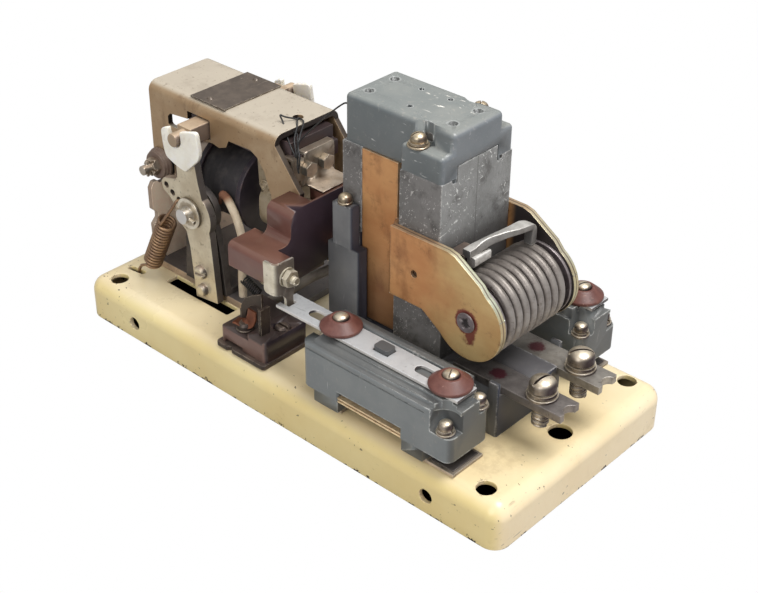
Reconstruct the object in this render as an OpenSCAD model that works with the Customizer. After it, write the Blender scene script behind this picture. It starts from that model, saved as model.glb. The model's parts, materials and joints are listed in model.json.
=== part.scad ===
// Single-pole dc contactor on a pressed base pan, millimetres.
// X runs from the magnet end to the terminal end, Z is up, the base stands on z = 0.
// The front half (y < 0) is drawn, and the rear half mirrors it.

/* [Base pan] */
// Length of the base pan
base_l = 272; // [250:1:330]
// Width of the base pan
base_w = 124; // [120:1:150]
// Height of the base pan
base_h = 22.6; // [18:0.1:30]
// Sheet thickness of the base pan
base_t = 2.5; // [1.5:0.1:3]
// Outer rounding of the pan's edges and corners
base_round = 8; // [5:0.5:10]
// Fixing hole spacing along X
fix_dx = 242; // [220:1:300]
// Fixing hole spacing along Y
fix_dy = 104; // [100:1:130]
// Fixing hole diameter
fix_d = 9; // [6:0.5:10]
// Cable hole diameter at the terminal end
cable_hole_d = 11; // [8:0.5:14]
// Lead hole diameter in the long sides
side_hole_d = 7; // [5:0.5:9]

/* [Magnet] */
// Left end of the yoke
yoke_x = -123.5; // [-126:0.5:-120]
// Length of the yoke's top plate
yoke_l = 89.5; // [85:0.5:95]
// Width over the yoke's side walls
yoke_w = 42.4; // [38:0.2:46]
// Thickness of the yoke's sheet
yoke_t = 3; // [2:0.1:3.5]
// Height of the yoke's top face
yoke_top = 122; // [120:0.5:140]
// Height of the coil's axis
coil_z = 77.5; // [74:0.5:80]
// Radius of the winding
coil_r = 21; // [16:0.5:22]
// Length of the winding
coil_l = 26; // [20:1:28]
// Radius of the iron core
core_r = 8; // [6:0.5:9]

/* [Levers] */
// Lever pivot along X
pivot_x = -79.3; // [-81:0.1:-78]
// Lever pivot height
pivot_z = 71; // [68:0.5:73]
// Outer face of the levers
lever_y = 36.3; // [36:0.1:37]
// Thickness of the levers
lever_t = 4; // [3:0.1:4]
// Lean of the levers to the left in the pose shown, degrees
lever_lean = 7.4; // [5:0.1:9]
// Pivot pin diameter
pivot_d = 8; // [6:0.5:9]
// Height of the armature bar's pins
bar_z = 109.7; // [108:0.1:111]
// Diameter of the armature bar's end pins
bar_pin_d = 6.8; // [5:0.1:7]
// Running clearance of a pin in its hole, on the radius
run_fit = 0.05; // [0.02:0.01:0.1]

/* [Arc chute] */
// Left face of the chute cap
cap_x = 6; // [5.5:0.5:8]
// Right face of the chute
chute_end = 67.7; // [66:0.1:70]
// Top of the chute cap
cap_top = 155.5; // [150:0.5:165]
// Half width of the cap's middle
cap_half = 16.5; // [16:0.1:17]
// Half width of the chute's wide block
block_half = 23.6; // [22:0.1:24]
// Thickness of each pole plate
pole_t = 3.6; // [2.5:0.1:4]

/* [Blowout coil] */
// Axis of the blowout coil along X
blow_x = 87; // [86:0.5:90]
// Height of the blowout coil's axis
blow_z = 78.5; // [76:0.5:82]
// Radius of the blowout coil's wire circle
blow_r = 16.2; // [14:0.1:17]
// Diameter of the blowout coil's wire
blow_wire = 4; // [3:0.1:4.6]
// Turns of the blowout coil
blow_turns = 8; // [5:1:9]

/* [Main terminals] */
// Height of the terminal bars' top face
bar_top = 49; // [47:0.5:52]
// Thickness of the terminal bars
bar_t = 4; // [3:0.5:5]
// Width of the terminal bars
bar_w = 13.6; // [12:0.2:15]
// Distance between the terminal bars' centre lines
bar_pitch = 27.8; // [26:0.2:30]
// Right end of the terminal bars
bar_end = 134; // [130:0.2:135.8]
// Thread diameter of the terminal screws
term_d = 8; // [6:1:8]

/* [Auxiliary contacts] */
// Centre line of the auxiliary blocks from the middle
aux_y = 47; // [46:0.5:48]
// Width of the auxiliary blocks
aux_w = 27; // [25:0.5:28]
// Left end of the auxiliary blocks
aux_x = 20.5; // [19:0.5:22]
// Length of the auxiliary blocks
aux_l = 86.5; // [84:0.5:90]
// Height of the slide strip's top face
strip_z = 60.5; // [60:0.5:62]
// Width of the slide strip
strip_w = 13; // [11:0.5:14]

/* [Motion] */
// Travel of the armature and of what it carries
stroke = 5.5; // [3:0.5:5.5]

/* [Hidden] */
term_x = 120;
$fn = 48;
eps = 0.01;
gap = 0.3;
// Heights and depths shared by several pieces
foot_t = 4;
foot_top = base_h + foot_t;
foot_half = 29.5;
wall_in = yoke_w / 2 - yoke_t;
lever_in = lever_y - lever_t;
lever_low = pivot_z - base_h - 0.4;
bracket_y = 27;
bracket_t = 3.6;
end_plate_x = -118;
end_plate_t = 3;
end_plate_half = 31.5;
end_block_x = -112;
iron_x = -50.5;
coil_x = -88;
flange_t = 3;
flange_r = coil_r + 1.5;
block_x = -103;
block_top = 117;
block_z = 103;
block_half_y = 14;
bar_half = 32.8;
bar_x = pivot_x - (bar_z - pivot_z) * tan(lever_lean);
block_end = -27.5;
stud_x = -117.6;
stud_z = 79.1;
stud_r = 2.5;
slot_in = 30;
slot_out = 37.4;
slot_x = -101.6;
slot_l = 46;
// Carrier moulding
carrier_x = -24;
carrier_floor = 88.5;
carrier_end = -8.5;
carrier_top = 98;
arm_z = 70;
arm_top = 82.5;
arm_y0 = 45.5;
arm_y1 = 55.5;
arm_end = 0.3;
clip_t = 1.5;
clip_bend = 2;
clip_low = arm_z - 3;
// Chute
cap_low = 133;
shoulder_low = 135;
shoulder_top = 147;
shoulder_x = 44.5;
strip_out = 17.2;
chute_in = strip_out - pole_t - gap;
cheek_out = block_half + gap + pole_t;
cheek_in = cheek_out - pole_t;
cheek_x = 43;
cheek_low = 74;
cheek_top = 108.5;
chute_low = 74;
cap_screw_x = 51.8;
cap_screw_y = 20.3;
body_half = 20;
contact_z = 45;
pcb_x = 103;
post_top = 104;
aux_low = base_h + 2.4;
aux_floor = aux_low + 6.5;
aux_body_top = 55;
rail_top = 58.6;
aux_screw_x = [32.3, 95.5];
small_x = -39;
small_l = 30.5;
small_y = -56;
small_w = 28;
small_z = base_h + 2.4;
small_seat = base_h + 10.4;
small_top = base_h + 13.4;
disc_t = 1.6;

// Both halves of a shape drawn at the front
module both() {
    children();
    mirror([0, 1, 0]) children();
}
module rear() {
    mirror([0, 1, 0]) children();
}
// A plate seen from the front, between two depths y0 < y1
module sheet_xz(y0, y1) {
    translate([0, y1, 0]) rotate([90, 0, 0]) linear_extrude(y1 - y0) children();
}
// A plate seen from the terminal end, between two lengths x0 < x1
module sheet_yz(x0, x1) {
    translate([x0, 0, 0]) rotate([90, 0, 90]) linear_extrude(x1 - x0) children();
}
module rod_x(x0, x1, r) {
    translate([x0, 0, 0]) rotate([0, 90, 0]) cylinder(h = x1 - x0, r = r);
}
module rod_y(y0, y1, r) {
    translate([0, y1, 0]) rotate([90, 0, 0]) cylinder(h = y1 - y0, r = r);
}
// A rectangle with round corners, its lower left corner at the origin
module round_rect(l, w, r) {
    translate([r, 0]) square([l - 2 * r, w]);
    translate([0, r]) square([l, w - 2 * r]);
    for (x = [r, l - r], y = [r, w - r]) translate([x, y]) circle(r);
}
// A box from corner a to corner b
module box(a, b) {
    translate(a) cube(b - a);
}
// A box with round upright edges and a round rim on top
module dome_box(a, b, r) {
    l = b.x - a.x;
    w = b.y - a.y;
    h = b.z - a.z;
    translate(a) {
        linear_extrude(h - r) round_rect(l, w, r);
        translate([r, r, 0]) cube([l - 2 * r, w - 2 * r, h]);
        for (y = [r, w - r]) translate([0, y, h - r]) rod_x(r, l - r, r);
        for (x = [r, l - r]) translate([x, 0, h - r]) rod_y(r, w - r, r);
        for (x = [r, l - r], y = [r, w - r]) translate([x, y, h - r]) sphere(r);
    }
}
// A screw along Z with its head's seat at z = 0, slotted across the head
module screw(d, reach, head_d, head_h, slot = true) {
    translate([0, 0, -reach]) cylinder(h = reach + eps, d = d);
    difference() {
        union() {
            cylinder(h = head_h * 0.6, d = head_d);
            translate([0, 0, head_h * 0.6]) cylinder(h = head_h * 0.4, d1 = head_d, d2 = head_d * 0.72);
        }
        if (slot) translate([-head_d, -head_d / 12, head_h * 0.55]) cube([2 * head_d, head_d / 6, head_h]);
    }
}
module hex(h, across) {
    cylinder(h = h, d = across / cos(30), $fn = 6);
}
// A tube of n sides swept along the points of a path
function unit(v) = v / norm(v);
function heading(p, i) =
    unit(i == 0 ? p[1] - p[0] : i == len(p) - 1 ? p[i] - p[i - 1] : p[i + 1] - p[i - 1]);
function across(t, side) = unit(side - (side * t) * t);
module tube(path, r, n, side = [0, 0, 1]) {
    rings = [for (i = [0 : len(path) - 1])
        let (t = heading(path, i), u = across(t, side), w = cross(t, u))
        [for (k = [0 : n - 1]) path[i] + r * (cos(360 * k / n) * u + sin(360 * k / n) * w)]];
    points = [for (ring = rings) for (p = ring) p];
    last = (len(path) - 1) * n;
    walls = [for (i = [0 : len(path) - 2], k = [0 : n - 1])
        let (a = i * n + k, b = i * n + (k + 1) % n)
        each [[a, b, b + n], [a, b + n, a + n]]];
    start = [for (k = [1 : n - 2]) [0, k + 1, k]];
    finish = [for (k = [1 : n - 2]) [last, last + k, last + k + 1]];
    polyhedron(points, concat(walls, start, finish), convexity = 8);
}
// Points of a smooth curve through a route, steps points to each stretch
function blend(a, b, c, d, t) =
    0.5 * ((2 * b) + (c - a) * t + (2 * a - 5 * b + 4 * c - d) * t * t
    + (3 * b - a - 3 * c + d) * t * t * t);
function curve(route, steps) = concat(
    [for (i = [0 : len(route) - 2], s = [0 : steps - 1])
        blend(route[max(i - 1, 0)], route[i], route[i + 1], route[min(i + 2, len(route) - 1)], s / steps)],
    [route[len(route) - 1]]);
// Points of a coil about Z: turns, pitch, radius, rings to a turn, start angle
function coil_path(turns, pitch, r, rings, start = 0) =
    [for (i = [0 : turns * rings])
        let (a = start + 360 * i / rings) [r * cos(a), r * sin(a), pitch * i / rings]];

// Pressed base pan, hollow underneath
module base_shell(inset) {
    dome_box([-base_l / 2 + inset, -base_w / 2 + inset, inset > 0 ? -eps : 0],
        [base_l / 2 - inset, base_w / 2 - inset, base_h - inset], base_round - inset);
}
module base() {
    color("wheat") difference() {
        base_shell(0);
        base_shell(base_t);
        for (x = [-1, 1], y = [-1, 1])
            translate([x * fix_dx / 2, y * fix_dy / 2, 0]) cylinder(h = base_h + 1, d = fix_d);
        translate([fix_dx / 2, 0, 0]) cylinder(h = base_h + 1, d = cable_hole_d);
        both() {
            translate([0, 0, base_h - base_t - 1]) linear_extrude(base_t + 2)
                translate([slot_x, -slot_out]) round_rect(slot_l, slot_out - slot_in, 0.8);
            translate([-121, -40.6, base_h - base_t - 1]) rotate([0, 0, 8]) linear_extrude(base_t + 2)
                translate([-5.5, -1.5]) round_rect(11, 3, 1.4);
            for (x = [-99, 96]) translate([x, 0, 9.2]) rod_y(-base_w / 2 - 1, -base_w / 2 + base_t + 1, side_hole_d / 2);
        }
    }
}
// Steel foot plate under the magnet
module magnet_foot() {
    color("tan") difference() {
        translate([0, 0, base_h]) linear_extrude(foot_t)
            translate([-122, -foot_half]) round_rect(90, 2 * foot_half, 3);
        both() box([-42, -foot_half - 1, base_h - 1], [-31, -26, foot_top + 1]);
        translate([-58, 0, 0]) cylinder(h = foot_top + 1, r = 10);
    }
}
// Bent yoke: a top plate with a cut-out wall down each side
module yoke_wall() {
    bend = 5;
    leg = [[yoke_x, yoke_top - bend], [yoke_x + yoke_l, yoke_top - bend], [-18.2, 97.5], [-19.4, 88.4],
        [-37.4, 86.2], [-37.6, 89], [-42, 101], [-46.5, 106.8], [-51, 109.2], [-66, 108.6],
        [-68, 104.5], [-73, 102.6], [-78, 103.4], [-98, 101], [-104, 96], [-111, 84], [-111.6, 74],
        [-114, 71.6], [-120, 71.6], [yoke_x, 75]];
    difference() {
        sheet_xz(-yoke_w / 2, -wall_in) polygon(leg);
        sheet_xz(-yoke_w / 2 - 1, -wall_in + 1) polygon([[-109.9, 103.4], [-108.8, 102.4], [-97, 103],
            [-95, bar_z - 5], [-79, bar_z - 5], [-79, bar_z + 5.3], [bar_x - 5.1 - stroke, bar_z + 5.3],
            [bar_x - 5.1 - stroke, 110.7], [-108.3, 109.2], [-109.9, 107.4]]);
    }
}
module yoke() {
    bend = 5;
    color("burlywood") {
        difference() {
            union() {
                box([yoke_x, -yoke_w / 2 + bend, yoke_top - yoke_t],
                    [yoke_x + yoke_l, yoke_w / 2 - bend, yoke_top]);
                both() intersection() {
                    translate([0, -yoke_w / 2 + bend, yoke_top - bend]) difference() {
                        rod_x(yoke_x, yoke_x + yoke_l, bend);
                        rod_x(yoke_x - 1, yoke_x + yoke_l + 1, bend - yoke_t);
                    }
                    box([yoke_x, -yoke_w / 2, yoke_top - bend - eps],
                        [yoke_x + yoke_l, -yoke_w / 2 + bend + eps, yoke_top]);
                }
                both() yoke_wall();
            }
            translate([-41, 1, yoke_top - yoke_t - 1]) cylinder(h = yoke_t + 2, d = 5);
            translate([stud_x, 0, stud_z]) rod_y(-40, 40, stud_r + run_fit);
        }
    }
}
// Bare nameplate with its two rivets
module nameplate() {
    color("dimgray") translate([0, 0, yoke_top]) {
        linear_extrude(0.8) translate([-94.6, -18.8]) square([24.2, 37.6]);
        for (y = [-15, 15]) translate([-84.5, y, 0.8]) cylinder(h = 0.9, d1 = 3.6, d2 = 2);
    }
}
// Steel plate at the magnet's left end, and the block that the yoke and the core are fixed to
module end_plate() {
    half = [[0, foot_top], [25, foot_top], [31, 36], [end_plate_half, 48], [28.5, 51], [28.5, 54],
        [end_plate_half, 57], [end_plate_half, 69], [29.5, 72], [27, 72], [26, 70.4], [wall_in, 70.4], [0, 70.4]];
    color("rosybrown") difference() {
        union() {
            sheet_yz(end_plate_x, end_plate_x + end_plate_t) {
                polygon(half);
                mirror([1, 0]) polygon(half);
            }
            box([-122.5, -wall_in, 70], [end_block_x, wall_in, 88]);
        }
        both() translate([stud_x, 0, stud_z]) rod_y(-wall_in - 1, -8, stud_r + run_fit);
        translate([0, 0, coil_z]) rod_x(-125, end_block_x + 1, 5);
    }
}
module core() {
    color("silver") translate([0, 0, coil_z]) {
        rod_x(-125.5, end_block_x + eps, 5);
        rod_x(end_block_x, iron_x - stroke - 0.5, core_r);
    }
}
module coil_winding() {
    color("#202024") translate([0, 0, coil_z]) difference() {
        rod_x(coil_x, coil_x + coil_l, coil_r);
        rod_x(coil_x - 1, coil_x + coil_l + 1, core_r);
    }
}
module coil_flanges() {
    color("#2a2a2c") translate([0, 0, coil_z]) for (x = [coil_x - flange_t, coil_x + coil_l]) difference() {
        rod_x(x, x + flange_t, flange_r);
        rod_x(x - 1, x + flange_t + 1, core_r);
    }
}
// Stud into the end block through the yoke's wall, with a castle nut and its split pin
module side_stud() {
    color("silver") translate([stud_x, 0, stud_z]) {
        rod_y(-34.1, -8.2, stud_r);
        translate([0, -30.6, 0]) rod_z(-4.2, 4.2, 0.8);
        difference() {
            translate([0, -washer_y[3], 0]) rotate([90, 0, 0]) hex(4, 8.4);
            for (a = [0, 60, 120]) rotate([0, a, 0]) box([-6, -30, -0.7], [6, -washer_y[3] - 2.4, 0.7]);
        }
    }
}
// Three brown washers between the yoke's wall and the nut
washer_y = [yoke_w / 2, yoke_w / 2 + 1.5, yoke_w / 2 + 3, yoke_w / 2 + 4.3];
washer_r = [8.4, 7.8, 7.2];
module side_washers() {
    color("#4a352c") translate([stud_x, 0, stud_z]) difference() {
        for (i = [0 : 2]) rod_y(-washer_y[i + 1], -washer_y[i] + (i > 0 ? eps : 0), washer_r[i]);
        rod_y(-30, 0, stud_r + run_fit);
    }
}
// Upright plate that carries the lever's pivot pin
module bearing_bracket() {
    color("#3c3835") difference() {
        union() {
            sheet_xz(-bracket_y - bracket_t, -bracket_y) {
                translate([pivot_x, pivot_z]) circle(12);
                polygon([[pivot_x - 9, pivot_z], [pivot_x + 10.6, pivot_z - 6], [pivot_x + 14.4, 46],
                    [pivot_x + 16.4, foot_top], [pivot_x - 14, foot_top], [pivot_x - 12, 50]]);
            }
            box([pivot_x - 14, -bracket_y, foot_top], [pivot_x + 16.4, -bracket_y + 9, foot_top + 3.5]);
        }
        translate([pivot_x, 0, pivot_z]) rod_y(-bracket_y - bracket_t - 1, -bracket_y + 1, pivot_d / 2);
        translate([pivot_x + 11, 0, 50]) rod_y(-bracket_y - bracket_t - 1, -bracket_y + 1, 1.5);
    }
}
// Pivot pin with its collar, washer and split pin
module pivot_pin() {
    washer_y = -lever_y - 0.2;
    color("gainsboro") translate([pivot_x, 0, pivot_z]) {
        rod_y(-42.5, -bracket_y, pivot_d / 2);
        rod_y(-bracket_y, -bracket_y + 2.5, pivot_d / 2 + 2);
        rod_y(-lever_in + 0.1, -bracket_y - bracket_t, pivot_d / 2 + 1.5);
        rod_y(washer_y - 1.6, washer_y, 8.2);
        translate([0, -40.2, 0]) rotate([0, 12, 0]) rod_x(-6, 7.4, 1);
    }
}
module rod_z(z0, z1, r) {
    translate([0, 0, z0]) cylinder(h = z1 - z0, r = r);
}
// Lever outline about its pivot, upright: x to the right, y up
lever_holes = [[-15.8, 11.3], [-11.9, 7.9], [-7.7, 4.9]];
module lever_outline() {
    polygon([[-6.3, -lever_low], [9.9, -lever_low], [11.4, -22], [12, -10], [10.1, 9.1], [9.1, 17], [8.6, 28],
        [-5.2, 28], [-5.5, 23.4], [-6.2, 17.6], [-8, 16.2], [-17, 15], [-19.4, 12.8], [-19, 8.7], [-14.5, 4.9],
        [-11, 0], [-6, -11], [-5, -20]]);
    translate([1.4, -0.8]) circle(12.8);
}
module lever() {
    color("#cfc8b4") {
        translate([pivot_x, 0, pivot_z]) rotate([0, -lever_lean, 0]) {
            difference() {
                sheet_xz(-lever_y, -lever_in) lever_outline();
                rod_y(-lever_y - 1, -lever_in + 1, pivot_d / 2 + run_fit);
                for (h = lever_holes) translate([h.x, 0, h.y]) rod_y(-lever_y - 1, -lever_in + 1, 1.6);
            }
            translate([1.5, -lever_y, 16.1 - lever_low]) rotate([90, 0, 0]) screw(3, 1, 7.4, 3);
            translate([1, -lever_y, 6.2 - lever_low]) rotate([90, 0, 0]) screw(3, 1, 6.4, 3, false);
        }
    }
}
// Nylon fork on the lever's head, open upwards round the armature bar's pin
module fork() {
    slot = bar_pin_d + 0.8;
    color("ivory") translate([pivot_x, 0, pivot_z]) rotate([0, -lever_lean, 0]) difference() {
        sheet_xz(-lever_y - 2.3, -lever_y + 2.9) difference() {
            polygon([[-9.8, 42.4], [-10.2, 33], [-9.2, 28.4], [-3.4, 25.4], [0.3, 23.9], [3.9, 23], [11.3, 28.2],
                [14.6, 30.6], [16.9, 34.2], [16.5, 44.6], [14.8, 45.8], [3.4, 43.4], [0, 46], [-8, 43.2]]);
            translate([-slot / 2, 39]) square([slot, 20]);
            translate([0, 39]) circle(d = slot);
        }
        sheet_xz(-lever_y - 0.02, -lever_in + 0.02) translate([-15, 0]) square([30, 28.02]);
    }
}
// Extension spring: close curls about its axis, a hook at each end
spring_top = [-95.3, -38.4, 60.8];
spring_low = [-109.3, -38.9, 31.8];
spring_hook = [pivot_x - 8.26, -lever_y + 2, pivot_z + 3.87];
spring_r = 4.4;
spring_wire = 0.75;
spring_turns = 15;
spring_z = unit(spring_low - spring_top);
spring_x = across(spring_z, [0, -1, 0]);
spring_y = cross(spring_z, spring_x);
spring_curls = [for (p = coil_path(spring_turns, norm(spring_low - spring_top) / spring_turns, spring_r, 8))
    spring_top + p.x * spring_x + p.y * spring_y + p.z * spring_z];
spring_gap = min([for (i = [0 : 100], j = [6 : 10]) norm(spring_curls[i] - spring_curls[i + j])]) - 2 * spring_wire;
echo(spring_gap = spring_gap);
module return_spring() {
    last = spring_curls[len(spring_curls) - 1];
    lead_in = [spring_hook + [0, 2.9, 0], spring_hook + [0, -2.4, 0], spring_hook + [-0.4, -4, -0.8],
        spring_hook + [-2.4, -4.9, -4.6]];
    lead_out = [last + [-3.4, -0.2, -1.6], [-117.6, -39.9, 26.4], [-119.4, -40.3, 23.4], [-119.8, -40.4, 19]];
    color("#8a5a3c") tube(concat(lead_in, spring_curls, lead_out), spring_wire, 6, [0.3, -0.9, 0.2]);
}
// Armature bar through both yoke walls, a round pin at each end
module armature_bar() {
    color("tan") {
        box([bar_x - 4.8, -bar_half, bar_z - 4.5], [bar_x + 4.8, bar_half, bar_z + 4.5]);
        translate([bar_x, 0, bar_z]) both() rod_y(-40.5, -bar_half + eps, bar_pin_d / 2);
    }
}
// Bakelite block that slides along inside the yoke
module inner_block() {
    color("#4b2f2a") difference() {
        box([block_x, -block_half_y, block_z], [block_end, block_half_y, block_top]);
        box([bar_x - 4.8, -20, bar_z - 4.5], [bar_x + 4.8, 20, bar_z + 4.5]);
        for (y = bolt_y) translate([0, y, bolt_z]) rod_x(block_end - 12, block_end + 1, 2.5 + run_fit);
        box([block_end - 3.2, -block_half_y - 1, 110.6], [block_end + 1, block_half_y + 1, block_top + 1]);
    }
}
// Iron armature hung from the block's sides by two links, facing the core
module armature_plate() {
    color("lightgray") {
        sheet_yz(iron_x, iron_x + 8) translate([-17.5, 66]) round_rect(35, 23, 8);
        both() difference() {
            union() {
                sheet_xz(-block_half_y - 2, -block_half_y) {
                    translate([iron_x + 4, 90.4]) circle(4.9);
                    polygon([[iron_x - 0.7, 89], [iron_x + 8.8, 90], [iron_x + 9.5, 107], [iron_x - 1.5, 107]]);
                }
                translate([iron_x + 4, 0, 90.4]) rod_y(-block_half_y - 3.1, -block_half_y - 1, 3);
            }
            translate([iron_x + 4, 0, 90.4]) difference() {
                rod_y(-block_half_y - 4, -block_half_y - 2.5, 2.2);
                rod_y(-block_half_y - 5, -block_half_y, 1.3);
            }
        }
    }
}
// Plated angle: upright leg bolted to the block, shelf carrying the contact carrier
bolt_y = [-8.8, 2.5];
bolt_z = 104.2;
module armature_bracket() {
    color("gainsboro") difference() {
        union() {
            sheet_yz(block_end, block_end + 1.5) {
                translate([-9.7, 95]) round_rect(19.4, 17.2, 1.8);
                translate([-9.7, 95]) square([19.4, 8]);
                translate([-13, 95]) square([20, 9]);
                translate([-17.4, 99]) square([7, 11]);
            }
            box([block_end - 5, -17.4, 109.8], [block_end + 1.5, -block_half_y - 0.3, 111]);
            box([block_end, -9.7, 95], [-14.7, 9.7, 96.5]);
            box([block_end - 3, -9.7, 110.7], [block_end + 1, 9.7, 112.2]);
        }
        for (y = bolt_y) translate([0, y, bolt_z]) rod_x(block_end - 1, block_end + 2, 2.5 + run_fit);
    }
}
module bracket_bolts() {
    color("darkkhaki") {
        for (y = bolt_y) translate([block_end + 1.5, y, bolt_z]) {
            rod_x(-13, 0, 2.5);
            rotate([0, 90, 0]) hex(3.6, 7);
        }
        both() translate([-21, -14, carrier_floor]) screw(4, 7, 5.4, 2.8);
    }
}
// Brown moulded carrier: an arched shell across both sides with an arm to each clip
module carrier_profile() {
    half = concat(
        [[0, 62], [0, arm_z - 6], [-16, arm_z - 6], [-16, 62], [-34, 62], [-41, arm_z], [-arm_y1, arm_z],
            [-arm_y1, arm_top - 3]],
        [for (a = [180 : -22.5 : 90]) [-arm_y1 + 3 + 3 * cos(a), arm_top - 3 + 3 * sin(a)]],
        [[-41, arm_top]],
        [for (a = [-90 : 22.5 : 0]) [-41 + 4 * cos(a), arm_top + 4 + 4 * sin(a)]],
        [for (a = [180 : -22.5 : 90]) [-33 + 4 * cos(a), carrier_top - 4 + 4 * sin(a)]],
        [[0, carrier_top]]);
    polygon(half);
    mirror([1, 0]) polygon(half);
}
module carrier() {
    color("#6b3f38") difference() {
        union() {
            sheet_yz(carrier_x, carrier_end) carrier_profile();
            both() {
                sheet_yz(-31, carrier_x + eps) arm_profile(arm_y1 - 38.5);
                sheet_yz(carrier_end - eps, arm_end) arm_profile(arm_y1 - arm_y0);
            }
        }
        both() {
            translate([-21, -14, carrier_floor - 8]) cylinder(h = 9, r = 2 + run_fit);
            box([carrier_x - 1, -22, 85.5], [-12.4, -17.4, carrier_top + 1]);
        }
        box([carrier_x - 1, -22, carrier_floor], [carrier_end - 2, 22, carrier_top + 1]);
        box([carrier_x - 1, -30, 61], [carrier_end - 3, -19, 81]);
        box([carrier_x - 1, 19, 61], [carrier_end - 3, 30, 81]);
        both() translate([0, -50.3, 75.3]) rod_x(arm_end - 12, arm_end + 1, 2.2 + run_fit);
        both() translate([arm_end - clip_bend, -arm_y1 + clip_bend, arm_z - 1]) linear_extrude(arm_top + 2 - arm_z)
            difference() {
                translate([0, -clip_bend - 1]) square(clip_bend + 1);
                circle(clip_bend - run_fit);
            }
        box([-20, -6.2, 60], [carrier_end + 1, 6.2, 72]);
    }
    color("#6b3f38") box([carrier_x, -9, carrier_floor - eps], [carrier_end - 2, 9, 95]);
}
// Cross-section of an arm, round along its upper front edge
module arm_profile(w) {
    r = 3;
    polygon(concat([[-arm_y1 + w, arm_z], [-arm_y1, arm_z]],
        [for (a = [180 : -22.5 : 90]) [-arm_y1 + r + r * cos(a), arm_top - r + r * sin(a)]],
        [[-arm_y1 + w, arm_top]]));
}
// Nickel clip round the arm's corner, its stud and nut, and the tab that drives the strip
module clip_outline() {
    bend = [arm_end - clip_bend, -arm_y1 + clip_bend];
    difference() {
        union() {
            translate(bend) circle(clip_bend + clip_t);
            translate([arm_end - 6.5, -arm_y1 - clip_t]) square([6.5 - clip_bend, clip_t]);
            translate([arm_end, bend.y]) square([clip_t, -arm_y0 - bend.y]);
        }
        translate(bend) circle(clip_bend);
        translate([bend.x - 9, bend.y]) square([9 + clip_bend, 9]);
        translate([bend.x - 9, -arm_y1]) square(9);
    }
}
module carrier_clip() {
    color("gainsboro") {
        difference() {
            translate([0, 0, clip_low]) linear_extrude(arm_top + 0.5 - clip_low) clip_outline();
            sheet_xz(-arm_y1 - clip_t - 1, -arm_y1 + 1) translate([arm_end - 6.5, clip_low]) difference() {
                translate([-1, -1]) square(3);
                translate([2, 2]) circle(2);
            }
        }
        sheet_yz(arm_end, arm_end + clip_t) polygon([[-54.6, clip_low + eps], [-52.6, clip_low - 1],
            [-51.3, clip_low - 2.6], [-50.8, clip_low - 5], [-50.8, strip_z - 3.4], [-46.4, strip_z - 3.4],
            [-46.4, clip_low - 2.5], [-45.5, clip_low + eps]]);
        translate([arm_end + clip_t, -50.3, 75.3]) {
            rod_x(-12, 4.6, 2.2);
            rotate([0, 90, 0]) hex(2.8, 7.6);
        }
        translate([arm_end - 2.3, -47, strip_z + 3]) rotate([90, 0, 0]) rotate([0, 0, -35])
            rotate_extrude(angle = 200, $fn = 32) translate([2.6, 0]) circle(0.6, $fn = 16);
    }
}
// Moving contact bar under the carrier, reaching into the chute with its pad facing back
fixed_pad = 15;
moving_pad = fixed_pad + stroke + 0.3;
module moving_contact() {
    color("#b87333") {
        box([-19.8, -6, 66], [moving_pad + 5.2, 6, 71.8]);
        box([moving_pad + 1.2, -6, 66], [moving_pad + 5.2, 6, 83]);
        box([moving_pad, -5, 75.4], [moving_pad + 1.2 + eps, 5, 82.4]);
    }
}
// Aluminium strip that slides on the block: forked end, two slots and the driven peg
module slide_strip() {
    y0 = -aux_y - 0.5 - strip_w / 2;
    color("silver") {
        difference() {
            translate([0, 0, strip_z - 1.5]) linear_extrude(1.5) difference() {
                translate([-2, y0]) square([107, strip_w]);
                translate([-3, -51.2]) square([6.6, 5.2]);
                for (x = aux_screw_x) translate([x - 19, -aux_y - 2.8]) round_rect(28, 5.6, 2.75);
                translate([54 - 0.05, -aux_y - 3.05]) square([8.6, 6.1]);
            }
        }
    }
    color("#5f6468") translate([54, -aux_y - 3, strip_z - 2.2]) linear_extrude(4.4) round_rect(8.5, 6, 1.5);
}
// Grey moulded contact block with its rails, end pockets and feet
module aux_block() {
    y0 = -aux_y - aux_w / 2;
    color("slategray") difference() {
        union() {
            translate([0, 0, aux_floor]) linear_extrude(aux_body_top - aux_floor)
                translate([aux_x, y0]) round_rect(aux_l, aux_w, 4);
            for (x = [27.5, 80]) box([x, y0 + 0.6, aux_low], [x + (x > 50 ? 12 : 14.5), y0 + aux_w - 0.6, aux_floor + 0.5]);
            box([aux_x + 6, -aux_y - 11, 54], [aux_x + aux_l - 3, -aux_y + 12, 57]);
            box([aux_x + 8, -aux_y - 8.2, 54], [aux_x + aux_l - 5, -aux_y + 7.2, rail_top]);
            box([aux_x + 3, -aux_y + 7.8, 54], [aux_x + aux_l - 3, -aux_y + 12, strip_z - 0.2]);
        }
        box([42, y0 - 1, aux_low - 1], [80, y0 + aux_w + 1, aux_floor + 3.5]);
        box([aux_x + 1, y0 - 1, 51.6], [aux_x + aux_l - 14, y0 + 0.7, 52.4]);
        box([aux_x + aux_l - 13.5, y0 - 1, 41], [aux_x + aux_l - 3.5, y0 + 11, 60]);
        box([aux_x - 1, y0 + 8, 41], [aux_x + 4, y0 + 19, 56]);
        box([aux_x + aux_l - 4, y0 + 12, 41], [aux_x + aux_l + 1, y0 + 23, 60]);
        box([47, -aux_y - 4, 50], [66, -aux_y + 4, rail_top + 1]);
        for (x = aux_screw_x) translate([x, -aux_y, 45]) cylinder(h = 20, d = 4.6);
        translate([aux_x + aux_l - 8.5, y0 + 5.5, 30]) cylinder(h = 12, d = 4);
    }
}
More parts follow.
